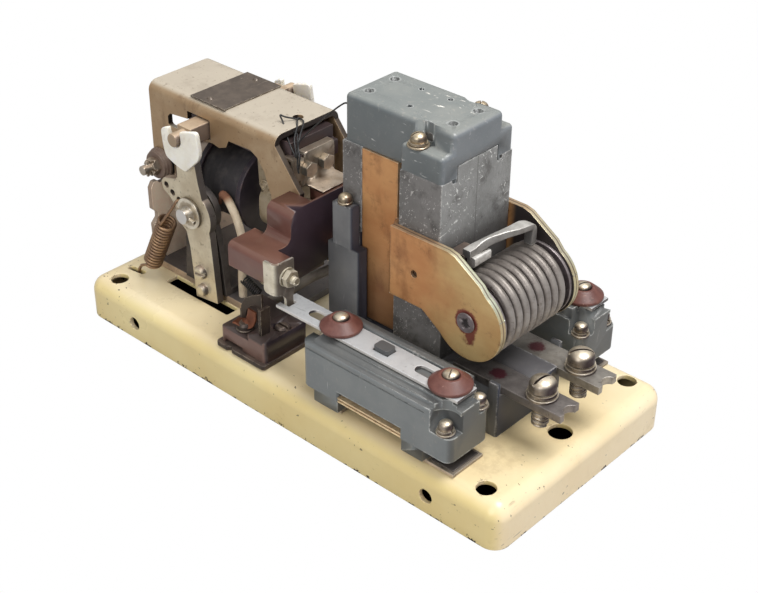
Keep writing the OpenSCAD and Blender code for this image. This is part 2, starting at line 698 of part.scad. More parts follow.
module aux_screws() {
    y0 = -aux_y - aux_w / 2;
    color("gainsboro") {
        for (x = aux_screw_x) translate([x, -aux_y, strip_z + 4.4]) screw(4.6, 16, 7, 2.6);
        translate([aux_x + aux_l - 8.5, y0 + 5.5, 41]) {
            cylinder(h = 1.2, r = 4.4);
            translate([0, 0, 1.2]) screw(4, 8, 6.4, 3.4);
        }
        translate([aux_x, -aux_y, 49]) {
            translate([4, 0, 0]) rotate([0, -90, 0]) cylinder(h = 1.5, r = 4.6);
            translate([2.5, 0, 0]) rotate([0, -90, 0]) cylinder(h = 4.5, r = 3.4);
        }
        translate([aux_x + aux_l - 4, y0 + 17.5, 49]) {
            rod_x(0, 1.5, 4.6);
            rod_x(1.5, 5, 3.4);
        }
    }
}
// Red fibre washers: a spigot through the strip's slot under a wide cone
module aux_washers() {
    color("brown") for (x = aux_screw_x) translate([x, -aux_y, 0]) difference() {
        union() {
            translate([0, 0, strip_z + 0.2]) cylinder(h = 1.3, r = 9.7);
            translate([0, 0, strip_z + 1.5]) cylinder(h = 3.8, r1 = 9.7, r2 = 5.2);
            translate([0, 0, rail_top]) cylinder(h = strip_z + 0.4 - rail_top, r = 2.45);
        }
        translate([0, 0, strip_z + 4.4]) cylinder(h = 3, r = 4);
        translate([0, 0, rail_top - 1]) cylinder(h = 10, d = 4.6);
    }
}
// Folded steel foot under the block's right end, and the brass strips along its underside
module aux_bracket() {
    color("#b9ad8c") {
        box([86, -57, base_h], [107, -37, base_h + 1.6]);
        box([86, -57, base_h + 1.6 - eps], [91.9, -37, aux_low]);
        box([27.5, -57, base_h], [41.5, -37, aux_low]);
    }
    color("#c08a4a") for (z = [aux_floor + 0.1, aux_floor + 1.8]) box([42.2, -57.5, z], [79.8, -52, z + 0.8]);
}
// Moulded grey contact base: posts, raised middle and terminal end
module contact_base() {
    color("dimgray") difference() {
        union() {
            box([2.5, -19, base_h], [67, 19, contact_z]);
            box([2.5, -strip_out + pole_t, base_h], [37.5, strip_out - pole_t, 62]);
            both() {
                translate([2.5, -24.2, base_h]) linear_extrude(83.4 - base_h) round_rect(18.5, 24.2 - strip_out, 1.4);
                box([2.5, -24.2, base_h], [16.9, -13.5, 83.4]);
                translate([4.4, -24, 83]) linear_extrude(post_top - 83) round_rect(12.1, 24 - strip_out, 1.6);
                box([4.4, -18, 83], [16.5, -13.6, 90]);
            }
            box([66, -22.6, base_h], [pcb_x, 22.6, contact_z]);
            both() box([pcb_x - 5.5, -23.2, base_h], [pcb_x - 0.5, -21.2, bar_top + 1.5]);
            box([84, -6.4, contact_z - 1], [112, 6.4, bar_top + 1.2]);
        }
        both() translate([10, -20.6, 90]) cylinder(h = 15, r = 1.8 + run_fit);
        box([-1, -10, 58], [34, 10, 63]);
    }
}
// Grey arc chute between the pole plates, open to the left for the moving contact
module chute_body() {
    color("gray") difference() {
        union() {
            box([shoulder_x, -block_half, chute_low], [chute_end, block_half, cap_low]);
            both() box([shoulder_x, -block_half, cap_low - 1], [chute_end, -cap_half, shoulder_low]);
            box([39, -body_half, contact_z], [67, body_half, chute_low]);
            box([16.9, -chute_in, 84.5], [chute_end, chute_in, 140.4]);
            both() {
                box([5.4, -strip_out, 90], [16.9, -8, cap_low]);
                box([5.4, -12.5, 107], [16.9, -8, 140]);
            }
            box([12, -13, 133], [chute_end - 4, 13, 150]);
        }
        box([4, -7.6, 80], [56, 7.6, 146]);
        box([38, -15, contact_z - 1], [58, 15, 70]);
        both() translate([cap_screw_x, -cap_screw_y, 120]) cylinder(h = 20, r = 2.5 + run_fit);
    }
}
// Chute cap with shoulders, scalloped round its screws
module chute_cap() {
    color("#5d6a70") difference() {
        union() {
            dome_box([cap_x, -cap_half, cap_low], [chute_end, cap_half, cap_top], 2.5);
            both() dome_box([shoulder_x, -block_half, shoulder_low], [chute_end, -cap_half + 6, shoulder_top], 2);
        }
        box([11.7, -13.6, cap_low - 1], [chute_end - 3.7, 13.6, 150.3]);
        box([cap_x - 1, -13.6, cap_low - 1], [16.8, 13.6, 140.3]);
        box([chute_end - 5, -13.6, cap_low - 1], [chute_end + 1, 13.6, 140.7]);
        both() translate([cap_screw_x, -cap_screw_y, shoulder_top]) cylinder(h = 12, r = 7);
        both() translate([cap_screw_x, -cap_screw_y, shoulder_low - 1]) cylinder(h = 20, r = 2.5 + run_fit);
        both() for (x = [13, 60]) translate([x, -8.2, cap_top - 2]) cylinder(h = 3, r = 2);
        for (p = [[36, -7.8], [28.5, 8.4], [44.4, 8.8]]) translate([p.x, p.y, cap_top - 6]) cylinder(h = 7, r = 1.2);
    }
}
// Screws of the cap and of the posts, each on a plain and a spring washer
module washered_screw(d, reach, head_d, head_h) {
    cylinder(h = 0.8, d = head_d + 3);
    translate([0, 0, 0.8]) cylinder(h = 1.2, d = head_d + 1);
    translate([0, 0, 2]) screw(d, reach, head_d, head_h);
}
module cap_screws() {
    color("darkkhaki") both() {
        translate([cap_screw_x, -cap_screw_y, shoulder_top]) washered_screw(5, 20, 9, 4);
        translate([10, -20.6, post_top]) {
            cylinder(h = 1.5, r = 3.3);
            translate([0, 0, 1.5]) screw(3.6, 12, 6.2, 3.6);
        }
    }
}
// Pole plate: a cheek beside the coil, jogged inwards to a strip beside the chute
module cheek_outline() {
    difference() {
        union() {
            polygon([[cheek_x, cheek_low], [62, cheek_low], [blow_x - 12, blow_z - 13.5], [blow_x + 17.5, blow_z + 7],
                [blow_x + 6, 98.5], [79, cheek_top - 1], [75, cheek_top], [cheek_x, cheek_top]]);
            translate([blow_x, blow_z]) circle(18.6);
        }
        translate([blow_x, blow_z]) circle(4);
        translate([57, 89.7]) circle(1.7);
    }
}
module pole_plate() {
    jog = pole_t * 1.3;
    color("goldenrod") {
        sheet_xz(-cheek_out, -cheek_in) cheek_outline();
        translate([0, 0, cheek_low]) linear_extrude(cheek_top - 3 - cheek_low)
            polygon([[cheek_x + eps, -cheek_out], [cheek_x + eps, -cheek_in], [38, -strip_out + pole_t],
                [37, -strip_out + pole_t], [37, -strip_out]]);
        box([17, -strip_out, contact_z + 1], [38, -strip_out + pole_t, cap_low - 0.4]);
    }
}
// Blowout coil: bare round wire about the core
blow_pitch = (2 * (cheek_in - disc_t - 0.3) - blow_wire) / blow_turns;
blow_path = coil_path(blow_turns, blow_pitch, blow_r, 24, 200);
blow_gap = min([for (i = [0 : 23], j = [18 : 30]) norm(blow_path[i] - blow_path[i + j])]) - blow_wire;
echo(blow_gap = blow_gap);
module blowout_coil() {
    length = blow_turns * blow_pitch;
    color("silver") tube([for (p = blow_path) [blow_x + p.x, p.z - length / 2, blow_z + p.y]],
        blow_wire / 2, 6, [0, 1, 0]);
}
// Core of the blowout coil with its end screws and insulating discs
module blowout_core() {
    head = 4.7;
    color("#3a3432") translate([blow_x, 0, blow_z]) both() difference() {
        rod_y(-cheek_in + 0.1, -cheek_in + 0.1 + disc_t, 17.6);
        rod_y(-cheek_in, -cheek_in + 3, 7);
    }
    color("gray") translate([blow_x, 0, blow_z]) {
        rod_y(-cheek_in + 0.1, cheek_in - 0.1, 12.8);
        both() rod_y(-cheek_out - 0.1, -cheek_in + 1, 4);
        both() difference() {
            rod_y(-cheek_out - 1, -cheek_out - 0.1 + eps, head);
            for (a = [20, 110]) rotate([0, a, 0]) box([-3, -cheek_out - 2, -0.6], [3, -cheek_out - 0.5, 0.6]);
        }
    }
}
// Flat strap from the coil's rear end, over and forward to its nut beside the chute
module coil_strap() {
    post = chute_end + 0.3;
    color("silver") {
        box([82, 16.4, blow_z + blow_r + blow_wire / 2 + 0.05], [86.4, 20.4, 107]);
        translate([0, 0, 105.4]) linear_extrude(3) polygon([[80, 20.4], [86.4, 20.4], [87, 12.4],
            [81.4, -3], [79, -6], [75, -6], [74.6, -3], [77.4, 12.4]]);
        box([75, -17.5, 101.4], [79, -4, 105.4 + eps]);
        box([75.6, -15.6, 97.4], [81, -4.6, 101.4 + eps]);
    }
    color("#3a3432") box([post, -17.5, 97.4], [75.6 + eps, -8, 102.6]);
}
// Fixed contact hanging in the chute's chamber
module fixed_contact() {
    color("#b87333") {
        box([fixed_pad - 4.5, -6, 86], [56, 6, 90]);
        box([fixed_pad - 4.5, -6, 74], [fixed_pad - 1, 6, 90]);
        box([fixed_pad - 1 - eps, -5, 75.4], [fixed_pad, 5, 82.4]);
    }
}
// Flat terminal bar with an open forked end
module terminal_bar() {
    y = -bar_pitch / 2;
    hole_x = term_x;
    color("#9a958c") {
        translate([0, 0, bar_top - bar_t]) linear_extrude(bar_t) difference() {
            translate([75, y - bar_w / 2]) square([bar_end - 75, bar_w]);
            translate([bar_end + 1.5, y]) circle(4.2);
            translate([hole_x, y]) circle(d = term_d + 0.1);
        }
    }
}
module terminal_screw() {
    y = -bar_pitch / 2;
    color("silver") translate([term_x, y, bar_top]) {
        cylinder(h = 1.3, r = 7.6);
        translate([0, 0, 1.3]) cylinder(h = 2, r = 6.9);
        translate([0, 0, 3.3]) screw(term_d, 3.3 + bar_top - 34.7, 13.2, 5.6);
    }
}
// Small brown terminal block: a low seat, a raised corner and an upright blade
small_screws = [[-28.4, -50, small_seat], [-13.6, -39.6, small_seat]];
module small_block() {
    color("#4a3632") {
        difference() {
            union() {
                translate([0, 0, small_z]) linear_extrude(small_seat - small_z)
                    translate([small_x, small_y]) round_rect(small_l, small_w, 2);
                translate([0, 0, small_seat - eps]) linear_extrude(small_top - small_seat + eps)
                    translate([-21, small_y]) round_rect(small_x + small_l + 21, small_w, 1.6);
                box([-39 + 1, small_y + 12, small_seat - eps], [-20, small_y + small_w, small_top + 1.4]);
            }
            translate([small_screws[1].x, small_screws[1].y, small_seat]) cylinder(h = 6, r = 4.6);
            for (p = small_screws) translate([p.x, p.y, small_seat - 3]) cylinder(h = 4, r = 1.5);
            box([-36, small_y - 1, small_z - 1], [-24, small_y + 3, small_z + 2]);
        }
    }
}
module small_block_fittings() {
    color("#8d857a") {
        difference() {
            translate([0, 0, base_h]) linear_extrude(small_z - base_h)
                translate([small_x - 1.5, small_y - 2.4]) round_rect(small_l + 2.6, small_w + 3, 2);
            translate([small_x + 8, small_y - 2.8, base_h - 1]) cylinder(h = 5, r = 1.8);
        }
        box([-15.8, -52.5, small_top], [-14.2, -46.5, small_top + 14.4]);
        sheet_xz(-46.6, -45.4) translate([0, small_seat]) polygon([[-34.4, 0], [-34.4, 9], [-31.5, 14.5],
            [-26, 18.2], [-19.7, 21.4], [-19.7, 12], [-24, 13], [-27.6, 11.6], [-30.4, 8.4], [-31.4, 4], [-31.4, 0]]);
        box([-22.6, -46.6, small_top - eps], [-19.7, -45.4, small_seat + 12.4]);
        for (p = small_screws) translate(p) {
            cylinder(h = 0.8, r = 4.2);
            translate([0, 0, 0.8]) screw(3, 3.6, 7.4, 3.2, p.x > -20);
        }
    }
}
// Leads: routes picked by hand
lead_route = [[-71.8, -coil_r - 2.5, 73.8], [-71, -coil_r - 2.6, 77.4], [-68.8, -24, 79.9], [-65.6, -24.4, 79.2],
    [-61.4, -25, 75.4], [-58, -25, 69.4], [-55.8, -24.6, 60], [-56, -24.2, 50], [-57.6, -24.2, 40],
    [-57.8, -24.2, foot_top + 6.4], [-57.8, -24.2, foot_top + 2.8], [-57.8, -24.2, foot_top]];
cable_route = [[-6, -2.6, 66], [-6, -2.6, 64], [-6, -2.6, 61], [-10.4, -8, 55.8], [-18.8, -15, 49.7],
    [-27.8, -20, 41.2], [-35, -23, 34.6], [-38.4, -24, foot_top + 5.4], [-39, -24, foot_top + 3.2],
    [-39, -24, foot_top + 1.8], [-39, -24, foot_top]];
bead = [block_end + 3.2, -16.4, 112];
wire_route = [[-39.4, -0.6, yoke_top + 0.4], [-36.6, -1, yoke_top + 0.8], [-33.4, -3, yoke_top + 0.6],
    [-28, -11, 120], bead + [0, 0, 3.4], bead, bead + [0.6, -0.4, -3.4], bead + [2, -1, -3],
    bead + [2.6, -1, 2], [-25, -14.6, 119], [-20, -13.4, 126], [-8, -12.4, 138.6], [2, -13, 147.4],
    [cap_x - 0.4, -13.6, 148.6]];
module coil_lead() {
    color("antiquewhite") tube(curve(lead_route, 3), 2.1, 8, [1, 0.3, 0]);
}
module contact_cable() {
    color("#8d867a") tube(curve(cable_route, 3), 2.4, 8, [0.4, -0.9, 0]);
}
module seal_wire() {
    color("#2b2b2b") {
        tube(curve(wire_route, 3), 0.4, 6, [0.1, 1, 0.2]);
        translate([bead.x, bead.y, bead.z - 1.6]) cylinder(h = 2.8, r = 1.2);
    }
}

base();
magnet_foot();
yoke();
nameplate();
end_plate();
core();
coil_winding();
coil_flanges();
side_stud();  // side_stud_front
rear() side_stud();  // side_stud_rear
side_washers();  // side_washers_front
rear() side_washers();  // side_washers_rear
bearing_bracket();  // bearing_bracket_front
rear() bearing_bracket();  // bearing_bracket_rear
pivot_pin();  // pivot_pin_front
rear() pivot_pin();  // pivot_pin_rear
lever();  // lever_front
rear() lever();  // lever_rear
fork();  // fork_front
rear() fork();  // fork_rear
return_spring();  // return_spring_front
rear() return_spring();  // return_spring_rear
armature_bar();
inner_block();
armature_plate();
armature_bracket();
bracket_bolts();
carrier();
carrier_clip();  // carrier_clip_front
rear() carrier_clip();  // carrier_clip_rear
moving_contact();
slide_strip();  // slide_strip_front
rear() slide_strip();  // slide_strip_rear
aux_block();  // aux_block_front
rear() aux_block();  // aux_block_rear
aux_screws();  // aux_screws_front
rear() aux_screws();  // aux_screws_rear
aux_washers();  // aux_washers_front
rear() aux_washers();  // aux_washers_rear
aux_bracket();  // aux_bracket_front
rear() aux_bracket();  // aux_bracket_rear
contact_base();
chute_body();
chute_cap();
cap_screws();
pole_plate();  // pole_plate_front
rear() pole_plate();  // pole_plate_rear
blowout_coil();
blowout_core();
coil_strap();
fixed_contact();
terminal_bar();  // terminal_bar_front
rear() terminal_bar();  // terminal_bar_rear
terminal_screw();  // terminal_screw_front
rear() terminal_screw();  // terminal_screw_rear
small_block();
small_block_fittings();
coil_lead();
contact_cable();
seal_wire();
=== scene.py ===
import json
import math

import bmesh
import bpy
from mathutils import Matrix, Vector


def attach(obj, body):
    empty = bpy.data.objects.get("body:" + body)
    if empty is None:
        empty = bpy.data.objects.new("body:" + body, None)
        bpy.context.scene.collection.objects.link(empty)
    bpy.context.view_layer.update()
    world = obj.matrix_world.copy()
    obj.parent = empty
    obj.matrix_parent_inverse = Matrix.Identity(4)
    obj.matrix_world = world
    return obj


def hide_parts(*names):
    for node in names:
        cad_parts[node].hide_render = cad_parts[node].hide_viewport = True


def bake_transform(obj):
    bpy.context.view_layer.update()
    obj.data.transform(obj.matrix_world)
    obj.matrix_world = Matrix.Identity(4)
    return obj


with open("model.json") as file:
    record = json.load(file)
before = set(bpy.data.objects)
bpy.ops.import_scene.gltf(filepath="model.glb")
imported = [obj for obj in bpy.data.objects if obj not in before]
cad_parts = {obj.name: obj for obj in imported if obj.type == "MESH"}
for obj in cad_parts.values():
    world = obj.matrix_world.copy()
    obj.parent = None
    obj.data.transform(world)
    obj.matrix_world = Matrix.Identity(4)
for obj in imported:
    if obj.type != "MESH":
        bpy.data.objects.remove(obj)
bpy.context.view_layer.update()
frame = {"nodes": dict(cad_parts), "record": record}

mm = 0.001
nodes = frame["nodes"]
record = frame["record"]
bodyOfNode = {node: body for body, members in record["behaviour"]["bodies"].items() for node in members}
slotOfNode = {row["node"]: row["material_slot"] for row in record["subparts"]}
sides = {"front": 1, "rear": -1}  # the rear half mirrors the front one, which is at y < 0


# Shader sockets as numbers
class Field:
    def __init__(self, shade, socket):
        self.shade, self.socket = shade, socket

    def maths(self, operation, first, second):
        return self.shade.node("ShaderNodeMath", {"operation": operation}, {0: first, 1: second})

    def __add__(self, other):
        return self.maths("ADD", self, other)

    def __radd__(self, other):
        return self.maths("ADD", other, self)

    def __sub__(self, other):
        return self.maths("SUBTRACT", self, other)

    def __rsub__(self, other):
        return self.maths("SUBTRACT", other, self)

    def __mul__(self, other):
        return self.maths("MULTIPLY", self, other)

    def __rmul__(self, other):
        return self.maths("MULTIPLY", other, self)

    def __or__(self, other):  # whichever mask is stronger
        return self.maths("MAXIMUM", self, other)

class Shade:
    def __init__(self, name):
        self.material = bpy.data.materials.new(name)
        self.material.use_nodes = True
        self.tree = self.material.node_tree
        self.tree.nodes.clear()
        self.place = self.node("ShaderNodeTexCoord", output="Object")

    def node(self, kind, settings=None, sockets=None, output=0):
        made = self.tree.nodes.new(kind)
        for key, value in (settings or {}).items():
            setattr(made, key, value)
        for key, value in (sockets or {}).items():
            if isinstance(value, Field):
                self.tree.links.new(value.socket, made.inputs[key])
            else:
                made.inputs[key].default_value = value
        return None if output is None else Field(self, made.outputs[output])

    def mask(self, value, low, high):
        return self.node("ShaderNodeMapRange", {"interpolation_type": "SMOOTHSTEP"}, {0: value, 1: low, 2: high})

    def stretched(self, scale):
        return self.node("ShaderNodeMapping", {}, {"Vector": self.place, "Scale": scale})

    def turned(self, scale, turn):
        return self.node("ShaderNodeMapping", {"vector_type": "TEXTURE"}, {
            "Vector": self.place, "Rotation": [math.radians(a) for a in turn], "Scale": [1 / k for k in scale]})

    def noise(self, size, detail=4, roughness=0.55, stretch=None, bend=0.0, turn=None):
        place = self.turned(stretch, turn) if turn else self.stretched(stretch) if stretch else self.place
        return self.node("ShaderNodeTexNoise", {}, {
            "Vector": place, "Scale": 1 / size, "Detail": detail, "Roughness": roughness, "Distortion": bend})

    # 1 where a noise is above the two levels; the rest is what noise takes
    def spots(self, low, high, *grain):
        return self.mask(self.noise(*grain), low, high)

    def cells(self, size):
        return self.node("ShaderNodeTexVoronoi", {}, {"Vector": self.place, "Scale": 1 / size}, "Distance")

    def edges(self, radius, low=0.015, high=0.12):
        rounded = self.node("ShaderNodeBevel", {"samples": 6}, {"Radius": radius})
        flat = self.node("ShaderNodeNewGeometry", output="Normal")
        same = self.node("ShaderNodeVectorMath", {"operation": "DOT_PRODUCT"}, {0: rounded, 1: flat}, "Value")
        return self.mask(1 - same, low, high)

    def facing(self, axis, low, high):
        flat = self.node("ShaderNodeNewGeometry", output="Normal")
        along = self.node("ShaderNodeVectorMath", {"operation": "DOT_PRODUCT"}, {0: flat, 1: axis}, "Value")
        return self.mask(along, low, high)

    # Painted light and shade: darker or paler by the side that a face looks to, as light falls on it
    def paintSideLight(self, colour, faces):
        looks = {"top": (0, 0, 1), "front": (0, -1, 0), "right": (1, 0, 0)}
        for side, amount in (faces or {}).items():
            colour = self.tinted(colour, self.facing(looks[side], 0.35, 0.9), amount)
        return colour

    def tinted(self, colour, factor, amount):
        return self.node("ShaderNodeMix", {"data_type": "RGBA", "blend_type": "MULTIPLY"},
                         {0: factor, 6: colour, 7: (*amount, 1)}, 2)

    # 1 inside a disc about a point, its rim ragged, looking along the axis whose scale is 0
    def blot(self, centre, radius, flat=(1, 0, 1), ragged=0.0006):
        centre = [c * f for c, f in zip(centre, flat)]
        away = self.node("ShaderNodeVectorMath", {"operation": "DISTANCE"},
                         {0: self.stretched(flat), 1: centre}, "Value")
        return self.mask(away + (self.noise(0.0015, 4) - 0.5) * ragged * 4, radius + ragged, radius - ragged)

    def axis(self, letter):
        return self.node("ShaderNodeSeparateXYZ", {}, {0: self.place}, letter)

    # How far a point is from the middle plane, to either side
    def offset(self, letter):
        return self.node("ShaderNodeMath", {"operation": "ABSOLUTE"}, {0: self.axis(letter)})

    def within(self, letter, low, high):
        where, blur = self.offset(letter), 0.0001
        return self.mask(where, low, low + blur) * self.mask(where, high, high - blur)

    def mix(self, factor, first, second):
        colours = {key: (*value, 1) if isinstance(value, tuple) else value
                   for key, value in {6: first, 7: second}.items()}
        return self.node("ShaderNodeMix", {"data_type": "RGBA"}, {0: factor, **colours}, 2)

    def bump(self, height, depth):
        return self.node("ShaderNodeBump", {}, {"Height": height, "Distance": depth, "Strength": 1.0})

    def shown(self, surface):
        self.node("ShaderNodeOutputMaterial", {}, {"Surface": surface}, None)
        return self.material

    def finish(self, colour, roughness, metallic, normal, **fixed):
        return self.shown(self.node("ShaderNodeBsdfPrincipled", {}, {
            "Base Color": colour, "Roughness": roughness, "Metallic": metallic,
            **{key.replace("_", " "): value for key, value in fixed.items()}, "Normal": normal}))


# Most pieces: a base colour with cloudy tint, grime specks, scratches, painted light and shade by side, and worn
# edges.
# grime is a colour, a size and an amount; edge a colour and an amount; scratch a colour, an amount and a stretch;
# faces a multiplier of painted light and shade for each side
def worn(name, base, tint, tintSize, grime=None, edge=None, edgeRadius=0.0006, scratch=None, roughness=0.5,
         metallic=0.0, grain=0.0006, depth=0.00003, faces=None, marks=(), block=None, **fixed):
    look = dict(tint=0.7, marks=0.88, grimeRough=0.12, cloudRough=0.15, fineRough=0.1)
    shade = Shade(name)
    cloud = shade.noise(tintSize, 5, 0.6)
    fine = shade.noise(grain, 3, 0.6)
    colour = shade.mix(shade.mask(cloud, 0.35, 0.68) * look["tint"], base, tint)
    rough = roughness + (cloud - 0.5) * look["cloudRough"] + (fine - 0.5) * look["fineRough"]
    if grime:
        paint, size, amount = grime
        specks = shade.spots(0.56, 0.72, size, 8, 0.7)
        colour = shade.mix(specks * amount, colour, paint)
        rough = rough + specks * look["grimeRough"]
    if scratch:
        paint, amount, stretch = scratch
        lines = shade.spots(0.64, 0.70, 0.0016, 4, 0.5, stretch, 0.6)
        patch = shade.spots(0.5, 0.66, 0.018, 3)
        colour = shade.mix(lines * patch * amount, colour, paint)
    # Painted light and shade by side
    colour = shade.paintSideLight(colour, faces)
    if edge:
        paint, amount = edge
        worked = shade.edges(edgeRadius) * shade.spots(0.38, 0.58, 0.003, 5, 0.65)
        colour = shade.mix(worked * amount, colour, paint)
    for centre, radius, flat, paint, *ragged in marks:
        colour = shade.mix(shade.blot(centre, radius, flat, *ragged) * look["marks"], colour, paint)
    if block:  # a part of the piece in another colour, by its place
        colour = shade.mix(shade.within("X", *block[0]) * shade.within("Y", *block[1]), colour, block[2])
    return shade.finish(colour, rough, metallic, shade.bump(fine, depth), **fixed)


# Materials
def creamEnamel():
    look = dict(fresh=(0.83, 0.70, 0.44), aged=(0.76, 0.60, 0.33), bare=(0.045, 0.03, 0.022),
                dirt=(0.38, 0.27, 0.15))
    shade = Shade("creamEnamel")
    cloud = shade.noise(0.07, 5, 0.6)
    colour = shade.mix(shade.mask(cloud, 0.3, 0.75), look["fresh"], look["aged"])
    stain = shade.spots(0.6, 0.78, 0.016, 7, 0.7)
    colour = shade.mix(stain * 0.28, colour, look["dirt"])
    specks = shade.spots(0.675, 0.705, 0.0022, 3, 0.5) * shade.spots(0.50, 0.6, 0.02, 3)
    colour = shade.mix(specks * 0.8, colour, look["bare"])
    spill = shade.blot((0.108, -0.034, 0), 0.013, (1, 1, 0), 0.006) \
        | shade.blot((0.117, 0.0, 0), 0.010, (1, 1, 0), 0.006)
    colour = shade.mix(spill * shade.spots(0.35, 0.7, 0.006, 6, 0.7) * 0.45, colour, look["dirt"])
    rub = shade.spots(0.68, 0.73, 0.0012, 3, 0.5, (0.12, 1, 1), 0.4) * shade.spots(0.52, 0.66, 0.03, 3)
    colour = shade.mix(rub * 0.35, colour, look["dirt"])
    cuts = shade.spots(0.60, 0.66, 0.0016, 3, 0.5, (1, 0.09, 1.1), 0.4, (7, 0, 0)) \
        * shade.spots(0.52, 0.62, 0.018, 3) * shade.facing((1, 0, 0), 0.2, 0.5)
    colour = shade.mix(cuts * 0.6, colour, look["bare"])
    # Painted light and shade: the front faces darker and yellower, the right ones paler
    colour = shade.paintSideLight(colour, dict(front=(0.96, 0.95, 0.76), right=(1.1, 1.1, 1.2), top=(0.94, 0.95, 0.98)))
    chips = shade.edges(0.0016, 0.01, 0.10) * shade.spots(0.575, 0.61, 0.007, 6, 0.7)
    rim = shade.mask(shade.axis("Z") - (shade.noise(0.0045, 5, 0.65) - 0.53) * 0.016, 0.0004, -0.0002)
    corner = shade.blot((-0.124, -0.052, 0.018), 0.017, (1, 1, 1), 0.004) * shade.spots(0.665, 0.69, 0.0027, 3, 0.5)
    chips = chips | rim | corner
    colour = shade.mix(chips, colour, look["bare"])
    peel = shade.noise(0.0035, 2, 0.5)
    rough = 0.30 + stain * 0.25 + chips * 0.4 + (cloud - 0.5) * 0.2
    normal = shade.bump(peel - chips * 0.8, 0.00007)
    return shade.finish(colour, rough, 0.0, normal, Coat_Weight=0.25, Coat_Roughness=0.2)


def yokeZinc():
    look = dict(side=(0.37, 0.26, 0.165), top=(0.66, 0.585, 0.47), stain=(0.17, 0.105, 0.06), pale=(0.5, 0.40, 0.29),
                bright=(0.72, 0.60, 0.42))
    shade = Shade("yokeZinc")
    cloud = shade.noise(0.02, 6, 0.65)
    colour = shade.mix(shade.mask(cloud, 0.4, 0.7) * 0.6, look["side"], look["pale"])
    # Painted light: top faces take the paler top colour, the sides keep the darker side colour
    colour = shade.mix(shade.facing((0, 0, 1), 0.6, 0.95) * 0.9, colour, look["top"])
    drips = shade.spots(0.52, 0.72, 0.012, 6, 0.65, (1, 1, 0.35))
    upper = shade.facing((0, 0, 1), 0.6, 0.95)
    colour = shade.mix(drips * (0.75 - upper * 0.58), colour, look["stain"])
    specks = shade.spots(0.62, 0.70, 0.0018, 4, 0.6)
    colour = shade.mix(specks * 0.6, colour, look["stain"])
    colour = shade.mix(shade.edges(0.0007) * 0.75, colour, look["bright"])
    # Painted light and shade by side, the right faces darkened almost to black
    colour = shade.paintSideLight(colour, dict(front=(1.0, 0.95, 0.84), right=(0.075, 0.074, 0.095), top=(0.87, 0.87, 0.87)))
    rough = 0.42 + (cloud - 0.5) * 0.3 + specks * 0.2
    return shade.finish(colour, rough, 0.35, shade.bump(shade.noise(0.0009, 3), 0.00004))


def passivated():
    look = dict(face=(0.49, 0.255, 0.105), gold=(0.62, 0.385, 0.175), rust=(0.15, 0.07, 0.035),
                blush=(0.24, 0.09, 0.035), bright=(0.80, 0.66, 0.42), paint=(0.16, 0.018, 0.02),
                sootAndShade=(0.036, 0.034, 0.038))
    shade = Shade("passivatedPlate")
    cloud = shade.noise(0.022, 6, 0.6, (0.5, 1, 1))
    colour = shade.mix(shade.mask(cloud, 0.35, 0.7), look["face"], look["gold"])
    wavy = shade.axis("X") + (shade.noise(0.02, 4) - 0.5) * 0.03
    strip = shade.mask(wavy, 0.086, 0.060)
    colour = shade.tinted(colour, strip, (1.06, 0.90, 0.82))
    colour = shade.tinted(colour, 1 - strip, (1.06, 1.24, 1.24))
    blush = shade.spots(0.48, 0.66, 0.014, 5, 0.6, (1, 1, 0.6)) * strip
    colour = shade.mix(blush * 0.5, colour, look["blush"])
    stain = shade.spots(0.55, 0.74, 0.009, 7, 0.72)
    colour = shade.mix(stain * 0.6, colour, look["rust"])
    colour = shade.mix(shade.edges(0.0026, 0.01, 0.2) * shade.spots(0.4, 0.6, 0.005, 6, 0.7) * 0.6, colour,
                       look["rust"])
    dots = shade.mask(shade.cells(0.009), 0.035, 0.02) * shade.spots(0.5, 0.62, 0.02, 2)
    colour = shade.mix(dots * 0.8, colour, look["rust"])
    # Darker towards the bottom at the left of the pole strip
    lower = shade.mask(shade.axis("Z"), 0.095, 0.05) * shade.mask(shade.axis("X"), 0.045, 0.04)
    colour = shade.mix(lower * 0.75, colour, look["rust"])
    colour = shade.mix(shade.edges(0.0005) * 0.8, colour, look["bright"])
    depth = shade.offset("Y")
    seam = shade.mask(depth, 0.0252, 0.0255) * shade.mask(depth, 0.0262, 0.0259)
    colour = shade.mix(seam * 0.85, colour, look["rust"])
    atFront = shade.mask(shade.axis("Y"), 0.0, -0.001)
    run = shade.blot((0.0892, 0, 0.0728), 0.0026, (1, 0, 0.5), 0.0008) | shade.blot((0.087, 0, 0.0785), 0.0062)
    colour = shade.mix(run * atFront * 0.9, colour, look["paint"])
    # Painted shade with soot: the inner faces between the two cheeks darkened almost black
    inner = shade.facing((0, -1, 0), 0.5, 0.8) * shade.mask(shade.axis("Y"), 0.0, 0.001) \
        | shade.facing((0, 1, 0), 0.5, 0.8) * atFront
    inner = inner * shade.mask(shade.axis("X"), 0.068, 0.072)
    # Painted light by side: top and right faces paler
    colour = shade.paintSideLight(colour, dict(top=(0.82, 1.12, 1.65), right=(0.93, 1.18, 1.6)))
    colour = shade.mix(inner * 0.97, colour, look["sootAndShade"])
    rough = 0.36 + stain * 0.25 + (cloud - 0.5) * 0.2
    return shade.finish(colour, rough, 0.45, shade.bump(shade.noise(0.0008, 3), 0.00003))


